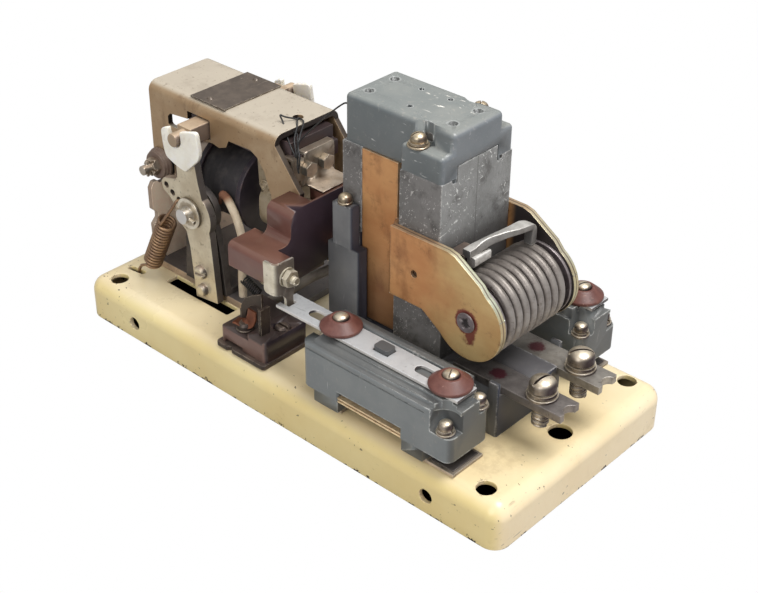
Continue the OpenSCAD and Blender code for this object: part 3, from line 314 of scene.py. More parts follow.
def arcMoulding():
    look = dict(face=(0.20, 0.20, 0.195), pale=(0.30, 0.30, 0.295), mark=(0.78, 0.78, 0.76),
                sootAndShade=(0.05, 0.045, 0.042))
    shade = Shade("arcMoulding")
    cloud = shade.noise(0.03, 6, 0.65)
    colour = shade.mix(shade.mask(cloud, 0.35, 0.7), look["face"], look["pale"])
    mottle = shade.spots(0.45, 0.7, 0.0025, 5, 0.6)
    colour = shade.mix(mottle * 0.35, colour, look["pale"])
    colour = shade.mix(shade.spots(0.5, 0.68, 0.011, 6, 0.7) * 0.6, colour, look["sootAndShade"])
    lines = shade.spots(0.635, 0.67, 0.004, 3, 0.5, (3.6, 3.6, 0.5), 0.7, (24, 30, 0))
    lines = lines | shade.spots(0.64, 0.67, 0.003, 3, 0.5, (3, 3, 0.6), 0.5, (-58, 65, 20))
    lines = lines | shade.spots(0.725, 0.75, 0.0016, 3, 0.5)
    marks = lines * shade.spots(0.47, 0.58, 0.013, 3)
    colour = shade.mix(marks * 0.75, colour, look["mark"])
    colour = shade.mix(shade.edges(0.0014) * shade.spots(0.42, 0.6, 0.002, 4) * 0.7, colour, look["mark"])
    # Painted shade: the left faces darkened and the front faces darker by side
    colour = shade.mix(shade.facing((-1, 0, 0), 0.6, 0.9) * 0.6, colour, look["sootAndShade"])
    colour = shade.paintSideLight(colour, dict(front=(0.68, 0.65, 0.64)))
    atRight = shade.facing((1, 0, 0), 0.6, 0.9)
    colour = shade.mix(shade.within("Y", -0.001, 0.00022) * atRight * 0.7, colour, look["sootAndShade"])
    # Painted shade: the lower right faces between the cheeks darkened
    under = atRight * shade.mask(shade.axis("Z"), 0.112, 0.099)
    colour = shade.mix(under * 0.8, colour, look["sootAndShade"])
    return shade.finish(colour, 0.55 + (cloud - 0.5) * 0.2, 0.0, shade.bump(mottle + marks, 0.00006))


def windingTape():
    look = dict(tape=(0.036, 0.033, 0.037), worn=(0.095, 0.085, 0.08), pitch=0.0032)
    shade = Shade("windingTape")
    band = shade.node("ShaderNodeTexWave", {"wave_type": "BANDS", "bands_direction": "X", "wave_profile": "SAW"},
                      {"Vector": shade.place, "Scale": 1 / look["pitch"] / 3.14, "Distortion": 1.5, "Detail": 2.0,
                       "Detail Scale": 0.4}, "Fac")
    colour = shade.mix(shade.spots(0.45, 0.7, 0.006, 5) * 0.7, look["tape"], look["worn"])
    return shade.finish(colour, 0.5 + band * 0.15, 0.0, shade.bump(band, 0.0001))


# A woven tube, unwrapped along its run. bare says where its copper end stops, then the scorched and copper colours
def wovenSleeve(name, pale, dark, pitch, bare=None):
    shade = Shade(name)
    along = shade.node("ShaderNodeUVMap", {"uv_map": "along"})
    crossed = [shade.node("ShaderNodeTexWave", {"wave_type": "BANDS", "bands_direction": "DIAGONAL"},
                          {"Vector": shade.node("ShaderNodeMapping", {}, {"Vector": along, "Scale": (1, turn, 1)}),
                           "Scale": 1 / pitch}, "Fac") for turn in (1, -1)]
    weave = crossed[0] * crossed[1]
    cloud = shade.noise(0.008, 5, 0.6)
    colour = shade.mix(shade.mask(cloud, 0.35, 0.7) * 0.6, pale, dark)
    colour = shade.mix((1 - weave) * 0.35, colour, dark)
    if bare:
        start, scorched, copper = bare
        far = shade.node("ShaderNodeSeparateXYZ", {}, {0: along}, "X")
        colour = shade.mix(shade.mask(far, start + 0.004, start), colour, scorched)
        colour = shade.mix(shade.mask(far, start + 0.0001, start), colour, copper)
    return shade.finish(colour, 0.8, 0.0, shade.bump(weave, 0.0002))


steelBits = dict(roughness=0.34, metallic=0.85, grain=0.0005, depth=0.00002)
redPaint = (0.10, 0.006, 0.02)


# The front bar is darker than the rear one as painted shade, and both have painted light on their right faces; each
# has a dab of paint by its screw
def terminalBar(name, bright, dull):
    return worn(name, bright, dull, 0.006, grime=((0.05, 0.042, 0.038), 0.0025, 0.7),
                edge=((0.72, 0.68, 0.61), 0.9), roughness=0.38, metallic=0.7, faces=dict(right=(1.4, 1.35, 1.25)),
                marks=[((0.0955, y, 0), 0.0038, (1, 1, 0), redPaint, 0.0011) for y in (-0.014, 0.014)])


# Four screw holes with pale rims and their insides darkened as painted shade, and painted shade in three small holes
# on the chute cap
def capMarks():
    upright, ragged = (1, 1, 0), 0.0003
    marks = []
    for x, y in ((13, -8.2), (13, 8.2), (60, -8.2), (60, 8.2)):
        marks += [((x * mm, y * mm, 0), 0.0029, upright, (0.30, 0.31, 0.30), ragged),
                  ((x * mm, y * mm, 0), 0.0021, upright, (0.012, 0.012, 0.012), ragged)]
    return marks + [((x * mm, y * mm, 0), 0.0010, upright, (0.004, 0.004, 0.004))
                    for x, y in ((36, -7.8), (28.5, 8.4), (44.4, 8.8))]


# The faces entries paint light and shade into the finishes: each side's colour is multiplied by how the light falls on
# it
finishes = {
    "terminal_bar_front": terminalBar("frontBar", (0.24, 0.215, 0.2), (0.12, 0.106, 0.1)),
    "terminal_bar_rear": terminalBar("rearBar", (0.355, 0.325, 0.285), (0.18, 0.165, 0.15)),
    "cream_enamel": creamEnamel(),
    "tan_zinc": yokeZinc(),
    "yellow_zinc": passivated(),
    "light_grey_moulding": arcMoulding(),
    "black_winding": windingTape(),
    "dull_steel": worn("leverSteel", (0.63, 0.56, 0.45), (0.45, 0.37, 0.27), 0.01,
        grime=((0.09, 0.055, 0.035), 0.003, 0.75), edge=((0.78, 0.72, 0.6), 0.7),
        faces=dict(right=(0.2, 0.2, 0.235), top=(0.75, 0.68, 0.68), front=(1.07, 1.07, 1.0)),
        **{**steelBits, "metallic": 0.5}),
    "dark_steel": worn("darkSteel", (0.072, 0.064, 0.061), (0.145, 0.124, 0.112), 0.01,
        grime=((0.02, 0.015, 0.012), 0.006, 0.5), edge=((0.3, 0.27, 0.23), 0.7), roughness=0.45, metallic=0.5),
    "nickel": worn("nickelPlate", (0.64, 0.58, 0.5), (0.42, 0.35, 0.27), 0.005,
        grime=((0.1, 0.065, 0.045), 0.003, 0.55), edge=((0.85, 0.8, 0.72), 0.7),
        faces=dict(top=(0.9, 0.82, 0.75), front=(0.8, 0.79, 0.77), right=(0.74, 0.71, 0.68)), **steelBits),
    "screw_nickel": worn("screwNickel", (0.6, 0.54, 0.46), (0.32, 0.26, 0.2), 0.004,
        grime=((0.05, 0.035, 0.028), 0.0018, 0.8), edge=((0.85, 0.8, 0.72), 0.7),
        scratch=((0.85, 0.8, 0.7), 0.6, (1, 1, 1)),
        faces=dict(top=(1.26, 1.24, 1.14), front=(0.6, 0.57, 0.55), right=(0.16, 0.135, 0.165)),
        **{**steelBits, "roughness": 0.4}),
    "tarnished": worn("tarnishedNickel", (0.52, 0.44, 0.34), (0.36, 0.29, 0.22), 0.004,
        grime=((0.06, 0.045, 0.03), 0.003, 0.5), edge=((0.8, 0.72, 0.58), 0.7),
        faces=dict(top=(0.68, 0.68, 0.68), front=(0.6, 0.7, 0.82), right=(1.6, 1.6, 1.6)), **steelBits),
    "coppered_steel": worn("copperedSpring", (0.27, 0.17, 0.11), (0.5, 0.32, 0.18), 0.006,
        grime=((0.05, 0.03, 0.02), 0.006, 0.5), roughness=0.4, metallic=0.8),
    "copper": worn("bareCopper", (0.48, 0.22, 0.12), (0.3, 0.14, 0.09), 0.006,
        grime=((0.06, 0.04, 0.03), 0.006, 0.5), edge=((0.7, 0.4, 0.25), 0.7), roughness=0.38, metallic=0.85),
    "tinned_copper": worn("tinnedCopper", (0.3, 0.275, 0.255), (0.17, 0.15, 0.14), 0.005,
        grime=((0.05, 0.038, 0.03), 0.0018, 0.75), edge=((0.6, 0.57, 0.53), 0.7), roughness=0.46, metallic=0.6,
        faces=dict(top=(0.78, 0.76, 0.73), front=(1.1, 1.08, 1.07), right=(1.16, 1.16, 1.16))),
    "copper_braid": wovenSleeve("braidedCable", (0.34, 0.3, 0.25), (0.1, 0.08, 0.065), 0.0012),
    "aluminium_sheet": worn("aluminiumStrip", (0.56, 0.555, 0.54), (0.46, 0.45, 0.44), 0.008,
        grime=((0.18, 0.165, 0.15), 0.002, 0.5), edge=((0.85, 0.85, 0.83), 0.9),
        scratch=((0.26, 0.25, 0.24), 0.7, (0.15, 1, 1)), roughness=0.42, metallic=0.35,
        faces=dict(right=(0.19, 0.17, 0.18), top=(0.95, 0.98, 1.02), front=(1.25, 1.22, 1.2)),
        block=((0.0539, 0.0627), (0.0439, 0.0501), (0.1, 0.103, 0.105))),
    "nylon": worn("whiteNylon", (0.86, 0.84, 0.79), (0.74, 0.69, 0.6), 0.01, grime=((0.34, 0.25, 0.16), 0.006, 0.3),
        roughness=0.36, grain=0.003, depth=0.00008, faces=dict(front=(1.08, 1.08, 1.06), right=(0.76, 0.75, 0.72)),
        Subsurface_Weight=0.4, Subsurface_Radius=(0.003, 0.003, 0.0022)),
    "brown_moulding": worn("brownPhenolic", (0.135, 0.052, 0.04), (0.17, 0.07, 0.053), 0.02,
        grime=((0.26, 0.16, 0.12), 0.006, 0.12), edge=((0.36, 0.2, 0.14), 0.9), edgeRadius=0.0008, roughness=0.33,
        grain=0.002, depth=0.00001, Coat_Weight=0.12,
        faces=dict(front=(1.03, 1.12, 1.12), top=(0.83, 0.95, 0.87), right=(0.35, 0.57, 0.98))),
    "dark_phenolic": worn("darkPhenolic", (0.078, 0.05, 0.05), (0.11, 0.07, 0.068), 0.015,
        grime=((0.2, 0.13, 0.1), 0.004, 0.2), edge=((0.27, 0.17, 0.13), 0.7), roughness=0.36, grain=0.0012,
        faces=dict(top=(0.43, 0.46, 0.46), front=(1.3, 1.5, 1.6), right=(0.28, 0.22, 0.24))),
    "grey_moulding": worn("greyMoulding", (0.12, 0.122, 0.128), (0.17, 0.172, 0.172), 0.014,
        grime=((0.24, 0.22, 0.2), 0.003, 0.35), edge=((0.42, 0.41, 0.4), 0.85), edgeRadius=0.0013,
        scratch=((0.5, 0.5, 0.49), 0.6, (1, 1, 0.12)), roughness=0.42,
        faces=dict(top=(0.64, 0.6, 0.6), front=(1.13, 1.13, 1.13), right=(0.33, 0.36, 0.48))),
    "blue_grey_moulding": worn("blueGreyMoulding", (0.172, 0.187, 0.192), (0.22, 0.232, 0.23), 0.02,
        grime=((0.36, 0.33, 0.29), 0.0022, 0.4), edge=((0.52, 0.53, 0.51), 0.85), edgeRadius=0.0012,
        scratch=((0.6, 0.6, 0.58), 0.6, (1, 1, 0.15)), roughness=0.36,
        faces=dict(top=(0.59, 0.56, 0.54), right=(0.52, 0.5, 0.49))),
    "cap_moulding": worn("capMoulding", (0.124, 0.141, 0.147), (0.168, 0.182, 0.183), 0.022,
        grime=((0.34, 0.32, 0.29), 0.0022, 0.35), edge=((0.6, 0.61, 0.6), 0.85), edgeRadius=0.0011,
        scratch=((0.72, 0.72, 0.7), 0.8, (0.2, 0.8, 1)), roughness=0.34,
        faces=dict(top=(1.46, 1.38, 1.28), right=(1.2, 1.18, 1.24)), marks=capMarks()),
    "black_moulding": worn("blackBobbin", (0.031, 0.025, 0.035), (0.058, 0.046, 0.055), 0.01,
        grime=((0.1, 0.075, 0.06), 0.006, 0.5), edge=((0.28, 0.17, 0.16), 1.0), edgeRadius=0.0009, roughness=0.4),
    "red_fibre": worn("redFibre", (0.108, 0.037, 0.029), (0.165, 0.068, 0.052), 0.005,
        grime=((0.04, 0.02, 0.018), 0.003, 0.7), edge=((0.36, 0.18, 0.13), 0.6),
        scratch=((0.42, 0.26, 0.2), 0.6, (1, 1, 1)), roughness=0.42),
    "brown_fibre": worn("brownFibre", (0.145, 0.096, 0.074), (0.22, 0.16, 0.12), 0.006,
        grime=((0.04, 0.028, 0.02), 0.006, 0.5), edge=((0.3, 0.22, 0.17), 0.7), roughness=0.55),
    "bare_label": worn("bareLabel", (0.08, 0.061, 0.047), (0.14, 0.108, 0.083), 0.008,
        grime=((0.3, 0.24, 0.18), 0.0022, 0.4), edge=((0.55, 0.48, 0.38), 0.9),
        scratch=((0.42, 0.36, 0.28), 0.7, (1, 0.15, 1)), roughness=0.36, metallic=0.3),
    "dark_fitting": worn("darkFitting", (0.11, 0.085, 0.07), (0.2, 0.15, 0.115), 0.006,
        grime=((0.03, 0.022, 0.018), 0.003, 0.5), edge=((0.62, 0.52, 0.4), 0.9), roughness=0.4, metallic=0.6,
        faces=dict(top=(1.3, 1.3, 1.35), front=(0.46, 0.45, 0.44), right=(0.7, 0.7, 0.8))),
    # The magnet's foot: its dark colour is partly dirt and partly painted shade
    "foot_zinc": worn("footZinc", (0.13, 0.11, 0.09), (0.2, 0.165, 0.125), 0.01,
        grime=((0.04, 0.03, 0.025), 0.004, 0.5), edge=((0.62, 0.5, 0.36), 0.7), roughness=0.5, metallic=0.3,
        faces=dict(top=(0.7, 0.73, 0.86), front=(3.4, 3.0, 2.6), right=(1.2, 1.4, 1.9))),
    "end_zinc": worn("endZinc", (0.4, 0.335, 0.275), (0.3, 0.24, 0.185), 0.012,
        grime=((0.12, 0.075, 0.05), 0.004, 0.5), edge=((0.6, 0.52, 0.42), 0.7), roughness=0.45, metallic=0.3,
        faces=dict(front=(0.95, 0.86, 0.8), right=(2.7, 2.6, 2.5))),
    "folded_foot": worn("foldedFoot", (0.38, 0.32, 0.26), (0.24, 0.205, 0.165), 0.006,
        grime=((0.06, 0.045, 0.04), 0.006, 0.7), edge=((0.85, 0.77, 0.62), 0.9), roughness=0.4, metallic=0.5,
        faces=dict(front=(1.6, 1.5, 1.35))),
    "iron_gold": worn("rawArmature", (0.34, 0.27, 0.175), (0.46, 0.385, 0.28), 0.004,
        grime=((0.12, 0.08, 0.05), 0.003, 0.5), edge=((0.7, 0.6, 0.45), 0.7), roughness=0.38, metallic=0.6,
        grain=0.0018, depth=0.0002),
    "bar_zinc": worn("barZinc", (0.36, 0.265, 0.18), (0.5, 0.38, 0.26), 0.01,
        grime=((0.14, 0.08, 0.045), 0.003, 0.5), edge=((0.75, 0.62, 0.42), 0.9), roughness=0.42, metallic=0.35,
        faces=dict(top=(1.2, 1.2, 1.2), right=(0.5, 0.5, 0.58))),
    "dome_brown": worn("domeBrown", (0.52, 0.41, 0.28), (0.31, 0.235, 0.155), 0.003,
        grime=((0.05, 0.035, 0.025), 0.0018, 0.65), edge=((0.8, 0.72, 0.6), 0.7),
        faces=dict(top=(1.4, 1.45, 1.45), front=(0.76, 0.8, 0.84), right=(0.48, 0.46, 0.52)), **steelBits),
    "clip_zinc": worn("clipZinc", (0.88, 0.83, 0.74), (0.66, 0.6, 0.5), 0.005,
        grime=((0.16, 0.12, 0.09), 0.002, 0.45), edge=((0.92, 0.9, 0.85), 0.7), roughness=0.48, metallic=0.45,
        faces=dict(top=(0.3, 0.24, 0.2), front=(0.92, 0.9, 0.82), right=(0.185, 0.165, 0.155))),
    "core_steel": worn("coreSteel", (0.34, 0.3, 0.3), (0.2, 0.17, 0.17), 0.004,
        grime=((0.04, 0.03, 0.03), 0.002, 0.5), edge=((0.75, 0.7, 0.64), 0.6), roughness=0.42, metallic=0.7,
        faces=dict(front=(0.62, 0.6, 0.62)),
        marks=[((0.087, 0, 0.0785), 0.0021, (1, 0, 1), (0.02, 0.018, 0.018), 0.0007)]),
    "strap_tin": worn("strapTin", (0.66, 0.64, 0.6), (0.44, 0.42, 0.39), 0.004,
        grime=((0.08, 0.065, 0.055), 0.0015, 0.65), edge=((0.85, 0.83, 0.78), 0.9), roughness=0.42, metallic=0.6,
        faces=dict(front=(0.42, 0.42, 0.44), right=(0.45, 0.44, 0.44))),
    "block_phenolic": worn("blockPhenolic", (0.133, 0.072, 0.063), (0.17, 0.095, 0.082), 0.012,
        grime=((0.3, 0.2, 0.16), 0.003, 0.3), edge=((0.36, 0.24, 0.19), 0.8), roughness=0.34, grain=0.0012,
        faces=dict(top=(0.48, 0.62, 0.64), front=(1.15, 1.24, 1.14), right=(0.27, 0.35, 0.5))),
    "clip_nut": worn("clipNut", (0.66, 0.6, 0.47), (0.4, 0.34, 0.25), 0.003,
        grime=((0.08, 0.06, 0.045), 0.0016, 0.6), edge=((0.9, 0.86, 0.74), 0.9), roughness=0.45, metallic=0.55,
        faces=dict(right=(0.5, 0.48, 0.45))),
    "red_copper": worn("redCopper", (0.22, 0.075, 0.035), (0.13, 0.045, 0.025), 0.004,
        grime=((0.03, 0.02, 0.015), 0.002, 0.5), edge=((0.5, 0.25, 0.14), 0.7), roughness=0.4, metallic=0.5),
    "black_spring": worn("blackSpring", (0.018, 0.017, 0.017), (0.05, 0.045, 0.04), 0.003, roughness=0.4,
        metallic=0.4),
    "bared_tin": worn("baredTin", (0.8, 0.78, 0.74), (0.42, 0.39, 0.35), 0.003,
        grime=((0.1, 0.08, 0.065), 0.0016, 0.6), edge=((0.85, 0.83, 0.78), 0.7), roughness=0.4, metallic=0.5),
    "pivot_nickel": worn("pivotNickel", (0.84, 0.78, 0.66), (0.6, 0.52, 0.4), 0.004,
        grime=((0.08, 0.06, 0.04), 0.0025, 0.5), edge=((0.9, 0.86, 0.76), 0.8), edgeRadius=0.0006,
        faces=dict(top=(0.32, 0.3, 0.28), right=(0.18, 0.17, 0.17)),
        marks=[((-0.0793, 0, 0.071), 0.0064, (1, 0, 1), (0.46, 0.39, 0.29)),
               ((-0.0793, 0, 0.071), 0.004, (1, 0, 1), (0.74, 0.73, 0.72))],
        **steelBits),
    "cream_sleeve": wovenSleeve("creamSleeve", (0.82, 0.71, 0.54), (0.47, 0.34, 0.22), 0.0011,
        (0.0105, (0.26, 0.12, 0.06), (0.2, 0.085, 0.045))),
    "brass_strip": worn("brassStrip", (0.86, 0.66, 0.4), (0.55, 0.38, 0.22), 0.004,
        grime=((0.1, 0.06, 0.035), 0.002, 0.5), edge=((0.95, 0.86, 0.62), 0.9), roughness=0.36, metallic=0.45),
    "dark_wire": worn("darkWire", (0.012, 0.012, 0.013), (0.028, 0.026, 0.025), 0.004, roughness=0.5),
}
ownFinish = {"chute_cap": "cap_moulding", "inner_block": "dark_phenolic", "small_block": "block_phenolic",
             "magnet_foot": "foot_zinc", "end_plate": "end_zinc", "bracket_bolts": "tarnished",
             "small_block_fittings": "dark_fitting", "armature_bar": "bar_zinc", "blowout_core": "core_steel",
             "armature_plate": "iron_gold"}
for side in sides:
    ownFinish[f"pivot_pin_{side}"] = "pivot_nickel"
    ownFinish[f"aux_bracket_{side}"] = "folded_foot"
    ownFinish[f"terminal_bar_{side}"] = f"terminal_bar_{side}"
    ownFinish[f"carrier_clip_{side}"] = "clip_zinc"
print("materials", len(finishes))


# Pieces: each gets its finish, what moves it, and the nodes that it stands in for are hidden
def place(piece, body, finish, slot, stands=()):
    piece.data.materials.clear()
    piece.data.materials.append(finishes[finish])
    if stands:
        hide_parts(*stands)
    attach(piece, body)
    return piece


def newPiece(name, mesh):
    piece = bpy.data.objects.new(name, mesh)
    bpy.context.scene.collection.objects.link(piece)
    return piece


def applied(piece):
    bpy.context.view_layer.update()
    depsgraph = bpy.context.evaluated_depsgraph_get()
    mesh = bpy.data.meshes.new_from_object(piece.evaluated_get(depsgraph), depsgraph=depsgraph)
    piece.modifiers.clear()
    piece.data = mesh
    return piece


# The mesh of a piece that was there only to make it
def meshOf(piece):
    mesh = piece.data
    bpy.data.objects.remove(piece)
    return mesh


# Rings of points joined by faces, closed at both ends or looped; a tube also gets its run as a UV map
def skin(name, rings, looped=False, lengths=None, girth=0.0):
    work = bmesh.new()
    layer = work.loops.layers.uv.new("along") if lengths else None
    made = [[work.verts.new(point) for point in ring] for ring in rings]
    count = len(made[0])
    for i, (one, two) in enumerate(zip(made, made[1:] + made[:1] if looped else made[1:])):
        for k in range(count):
            n = (k + 1) % count
            face = work.faces.new((one[k], one[n], two[n], two[k]))
            if lengths:
                face.smooth = True
                spots = ((lengths[i], k), (lengths[i], k + 1), (lengths[i + 1], k + 1), (lengths[i + 1], k))
                for loop, (along, turn) in zip(face.loops, spots):
                    loop[layer].uv = (along, girth * turn / count)
    if not looped:
        work.faces.new(reversed(made[0]) if lengths else made[0])
        work.faces.new(made[-1])
    if not lengths:
        bmesh.ops.recalc_face_normals(work, faces=work.faces)
    mesh = bpy.data.meshes.new(name)
    work.to_mesh(mesh)
    work.free()
    return mesh


def circle(steps):
    return [2 * math.pi * k / steps for k in range(steps)]


# Volume, area and reach along each axis, which tell whether a bevel has spoilt a shape
def measures(mesh):
    mesh.calc_loop_triangles()
    volume = area = 0.0
    for triangle in mesh.loop_triangles:
        a, b, c = (mesh.vertices[k].co for k in triangle.vertices)
        volume += a.dot(b.cross(c)) / 6
        area += triangle.area
    reach = [max(v.co[k] * turn for v in mesh.vertices) for k in range(3) for turn in (1, -1)]
    return volume, area, reach


# An upright block from its outline
def prism(outline, low, high, side):
    return newPiece("prism", skin("prism", [[(x * mm, y * sides[side] * mm, z * mm) for x, y in outline]
                                            for z in (low, high)]))


def oblong(x0, y0, x1, y1):
    return [(x0, y0), (x1, y0), (x1, y1), (x0, y1)]


def disc(x, y, radius):
    return [(x + radius * math.cos(a), y + radius * math.sin(a)) for a in circle(40)]


def carved(mesh, changes):
    piece = newPiece("carved", mesh)
    for operation, cutter in changes:
        change = piece.modifiers.new("change", "BOOLEAN")
        change.operation, change.object, change.solver = operation, cutter, "EXACT"
        applied(piece)
        bpy.data.objects.remove(cutter)
    return meshOf(piece)


# The auxiliary block's end: a cut corner for each terminal screw, under a lip with room for the screwdriver
def auxEnd(side):
    corners = [(103 + 4 * math.cos(math.radians(a)), middle + 4 * math.sin(math.radians(a)))
               for middle, first in ((-56.5, -90), (-37.5, 0)) for a in range(first, first + 91, 15)]
    look = dict(
        away=(oblong(93.2, -64, 110, -30), 20, 66),
        adds=[([(93, -60.5)] + corners + [(93, -33.5)], 31.5, 55), (oblong(93, -58, 104, -35), 54, 57),
              (oblong(93, -55.2, 102, -39.8), 56, 58.6), (oblong(93, -39.2, 104, -35), 56, 60.3)],
        cuts=[(oblong(96, -62, 108, -52), 44, 53.4), (disc(103.5, -60.4, 7.6), 50, 60),
              (oblong(98.5, -41.4, 108, -30), 47.8, 62)])
    return ([("DIFFERENCE", prism(*look["away"], side))] + [("UNION", prism(*add, side)) for add in look["adds"]]
            + [("DIFFERENCE", prism(*cut, side)) for cut in look["cuts"]] + auxWindow(side))


# The window between the block's feet is taller than in the CAD
def auxWindow(side):
    return [("DIFFERENCE", prism(oblong(42, -64, 80, -57), 30, 37, side))]


# The two strips in that window come away, as they are pieces of their own here
def stripsAway(side):
    return [("DIFFERENCE", prism(oblong(42.02, -60, 79.98, -50), 30, 36, side))]


# The clip without its nut, which has a thread and a washer here
def clipFace(side):
    return [("DIFFERENCE", prism(oblong(1.83, -56, 9, -45.2), 70, 81, side))]


# A CAD node's own shape with its corners rounded, as a moulded or blanked piece has them. Where a bevel spoils
# the shape, a narrower one is tried
def rounded(node, width, changes):
    look = dict(merge=2e-6, flat=0.6, steps=2, angle=32, sharp=38, grow=0.00005)
    work = bmesh.new()
    work.from_mesh(nodes[node].data)
    if changes:
        bmesh.ops.remove_doubles(work, verts=work.verts, dist=look["merge"])
        whole = bpy.data.meshes.new(node + "Whole")
        work.to_mesh(whole)
        work.clear()
        work.from_mesh(carved(whole, changes))
    bmesh.ops.remove_doubles(work, verts=work.verts, dist=look["merge"])
    plain = bpy.data.meshes.new(node + "Plain")
    work.to_mesh(plain)
    bmesh.ops.dissolve_limit(work, angle_limit=math.radians(look["flat"]), verts=work.verts, edges=work.edges)
    broad = bpy.data.meshes.new(node + "Broad")
    work.to_mesh(broad)
    work.free()
    volume, area, reach = measures(plain)
    piece = newPiece(node + "_body", plain)
    tries = [(mesh, width * share) for share in (1, 0.6, 0.35) for mesh in (broad, plain)] if width else []
    for mesh, size in tries:
        piece.data = mesh
        bevel = piece.modifiers.new("corners", "BEVEL")
        bevel.width = size * mm
        bevel.segments = look["steps"]
        bevel.limit_method = "ANGLE"
        bevel.angle_limit = math.radians(look["angle"])
        bevel.use_clamp_overlap = False
        bevel.miter_outer = "MITER_ARC"
        applied(piece)
        newVolume, newArea, newReach = measures(piece.data)
        grown = max(new - old for new, old in zip(newReach, reach))
        if 0.9 < newVolume / volume < 1.002 and 0.85 < newArea / area < 1.003 and grown < look["grow"]:
            break
        piece.data = plain
    else:
        if width:
            print("sharp corners kept on", node)
    for face in piece.data.polygons:
        face.use_smooth = True
    piece.data.set_sharp_from_angle(angle=math.radians(look["sharp"]))
    weigh = piece.modifiers.new("normals", "WEIGHTED_NORMAL")
    weigh.keep_sharp = True
    applied(piece)
    slot = slotOfNode[node]
    place(piece, bodyOfNode[node], ownFinish.get(node, slot), slot, [node])


# How wide each node's corners are rounded, in mm
cornerWidth = {
    "base": 0.5, "magnet_foot": 0.4, "yoke": 0.35, "nameplate": 0.15, "end_plate": 0.35, "core": 0.4,
    "coil_winding": 0.0, "coil_flanges": 0.4, "armature_bar": 0.5, "inner_block": 0.4, "armature_plate": 0.5,
    "armature_bracket": 0.25, "bracket_bolts": 0.25, "carrier": 0.6, "moving_contact": 0.4, "contact_base": 0.5,
    "chute_body": 0.5, "chute_cap": 0.6, "fixed_contact": 0.3, "small_block": 0.5, "small_block_fittings": 0.25,
    "blowout_core": 0.3,
}
pairWidth = {
    "side_stud": 0.25, "side_washers": 0.3, "bearing_bracket": 0.4, "pivot_pin": 0.25, "lever": 0.35,
    "carrier_clip": 0.3, "slide_strip": 0.2, "aux_block": 0.5, "aux_washers": 0.3, "aux_bracket": 0.25,
    "pole_plate": 0.35, "terminal_bar": 0.4,
}
cornerWidth.update({f"{name}_{side}": width for name, width in pairWidth.items() for side in sides})
ownShape = {f"{name}_{side}": change(side) for side in sides for name, change in
            {"aux_block": auxEnd, "aux_bracket": stripsAway, "carrier_clip": clipFace}.items()}
for node, width in cornerWidth.items():
    rounded(node, width, ownShape.get(node, ()))
print("rounded pieces", len(cornerWidth))


# Routes and tubes
def curve(route, steps):
    points = []
    last = len(route) - 1
    for i in range(last):
        a, b, c, d = (Vector(route[min(max(i + k, 0), last)]) for k in (-1, 0, 1, 2))
        for s in range(steps):
            t = s / steps
            points.append(0.5 * (2 * b + (c - a) * t + (2 * a - 5 * b + 4 * c - d) * t * t
                                 + (3 * b - a - 3 * c + d) * t * t * t))
    return points + [Vector(route[last])]


# A tube along points in metres; its radius is in mm, or a function of how far along it is
def tube(name, points, radius, around, side=(0.3, 0.9, 0.2)):
    radiusAt = radius if callable(radius) else lambda share: radius
    rings, lengths, across, travelled = [], [], Vector(side), 0.0
    for i, point in enumerate(points):
        ahead = (points[min(i + 1, len(points) - 1)] - points[max(i - 1, 0)]).normalized()
        across = (across - ahead * across.dot(ahead)).normalized()
        other = ahead.cross(across)
        travelled += (point - points[i - 1]).length if i else 0.0
        lengths.append(travelled)
        size = radiusAt(i / (len(points) - 1)) * mm
        rings.append([point + size * (across * math.cos(a) + other * math.sin(a)) for a in circle(around)])
    return newPiece(name, skin(name, rings, lengths=lengths, girth=2 * math.pi * (radiusAt(0) * mm)))


# The points of a coil from start to end, the first one on the side where across points
def curls(start, end, across, radius, turns, steps):
    other = (end - start).normalized().cross(across)
    points = []
    for i in range(turns * steps + 1):
        turn = 2 * math.pi * i / steps
        points.append(start + (end - start) * i / (turns * steps)
                      + radius * (across * math.cos(turn) + other * math.sin(turn)))
    return points


def scaled(points):
    return [Vector(p) * mm for p in points]


# Fasteners
def spun(radius, height, angle):
    return radius * mm * math.cos(angle), radius * mm * math.sin(angle), height * mm


def lathe(profile, steps=40):
    return skin("turned", [[spun(r, z, a) for a in circle(steps)] for r, z in profile])


def ringMesh(inner, outer, low, high):
    corner = 0.2
    section = [(inner, low + corner), (inner + corner, low), (outer - corner, low), (outer, low + corner),
               (outer, high - corner), (outer - corner, high), (inner + corner, high), (inner, high - corner)]
    return skin("washer", [[spun(r, z, a) for r, z in section] for a in circle(40)], looped=True)


# A spring washer: one turn of square wire with its ends a little apart
def springWasherMesh(inner, outer, low, high, rise=0.5):
    look = dict(steps=44, gap=14)
    section = [(inner, low), (outer, low), (outer, high), (inner, high)]
    rings = []
    for k in range(look["steps"] + 1):
        share = k / look["steps"]
        turn = math.radians(look["gap"] / 2 + (360 - look["gap"]) * share)
        rings.append([spun(r, z + rise * (share - 0.5), turn) for r, z in section])
    return skin("springWasher", rings)


# A round-headed screw standing on z = 0, plain, or with a slot at an angle
def domeHead(radius, height, slot=None, skirt=0.35):
    low = height * skirt
    profile = [(radius * 0.55, 0), (radius * 0.96, 0), (radius, 0.2), (radius, low)]
    profile += [(radius * math.cos(a), low + (height - low) * math.sin(a))
                for a in (math.radians(10 * k) for k in range(1, 9))]
    profile += [(radius * 0.05, height)]
    if slot is None:
        return lathe(profile)
    wide, deep = radius * 0.2, height * 0.42
    cutter = newPiece("cutter", bpy.data.meshes.new("cutter"))
    work = bmesh.new()
    bmesh.ops.create_cube(work, size=1, matrix=Matrix.Rotation(math.radians(slot), 4, "Z")
                          @ Matrix.Translation((0, 0, height * mm))
                          @ Matrix.Diagonal((radius * 2.4 * mm, wide * mm, deep * 2 * mm, 1)))
    work.to_mesh(cutter.data)
    work.free()
    return carved(lathe(profile), [("DIFFERENCE", cutter)])


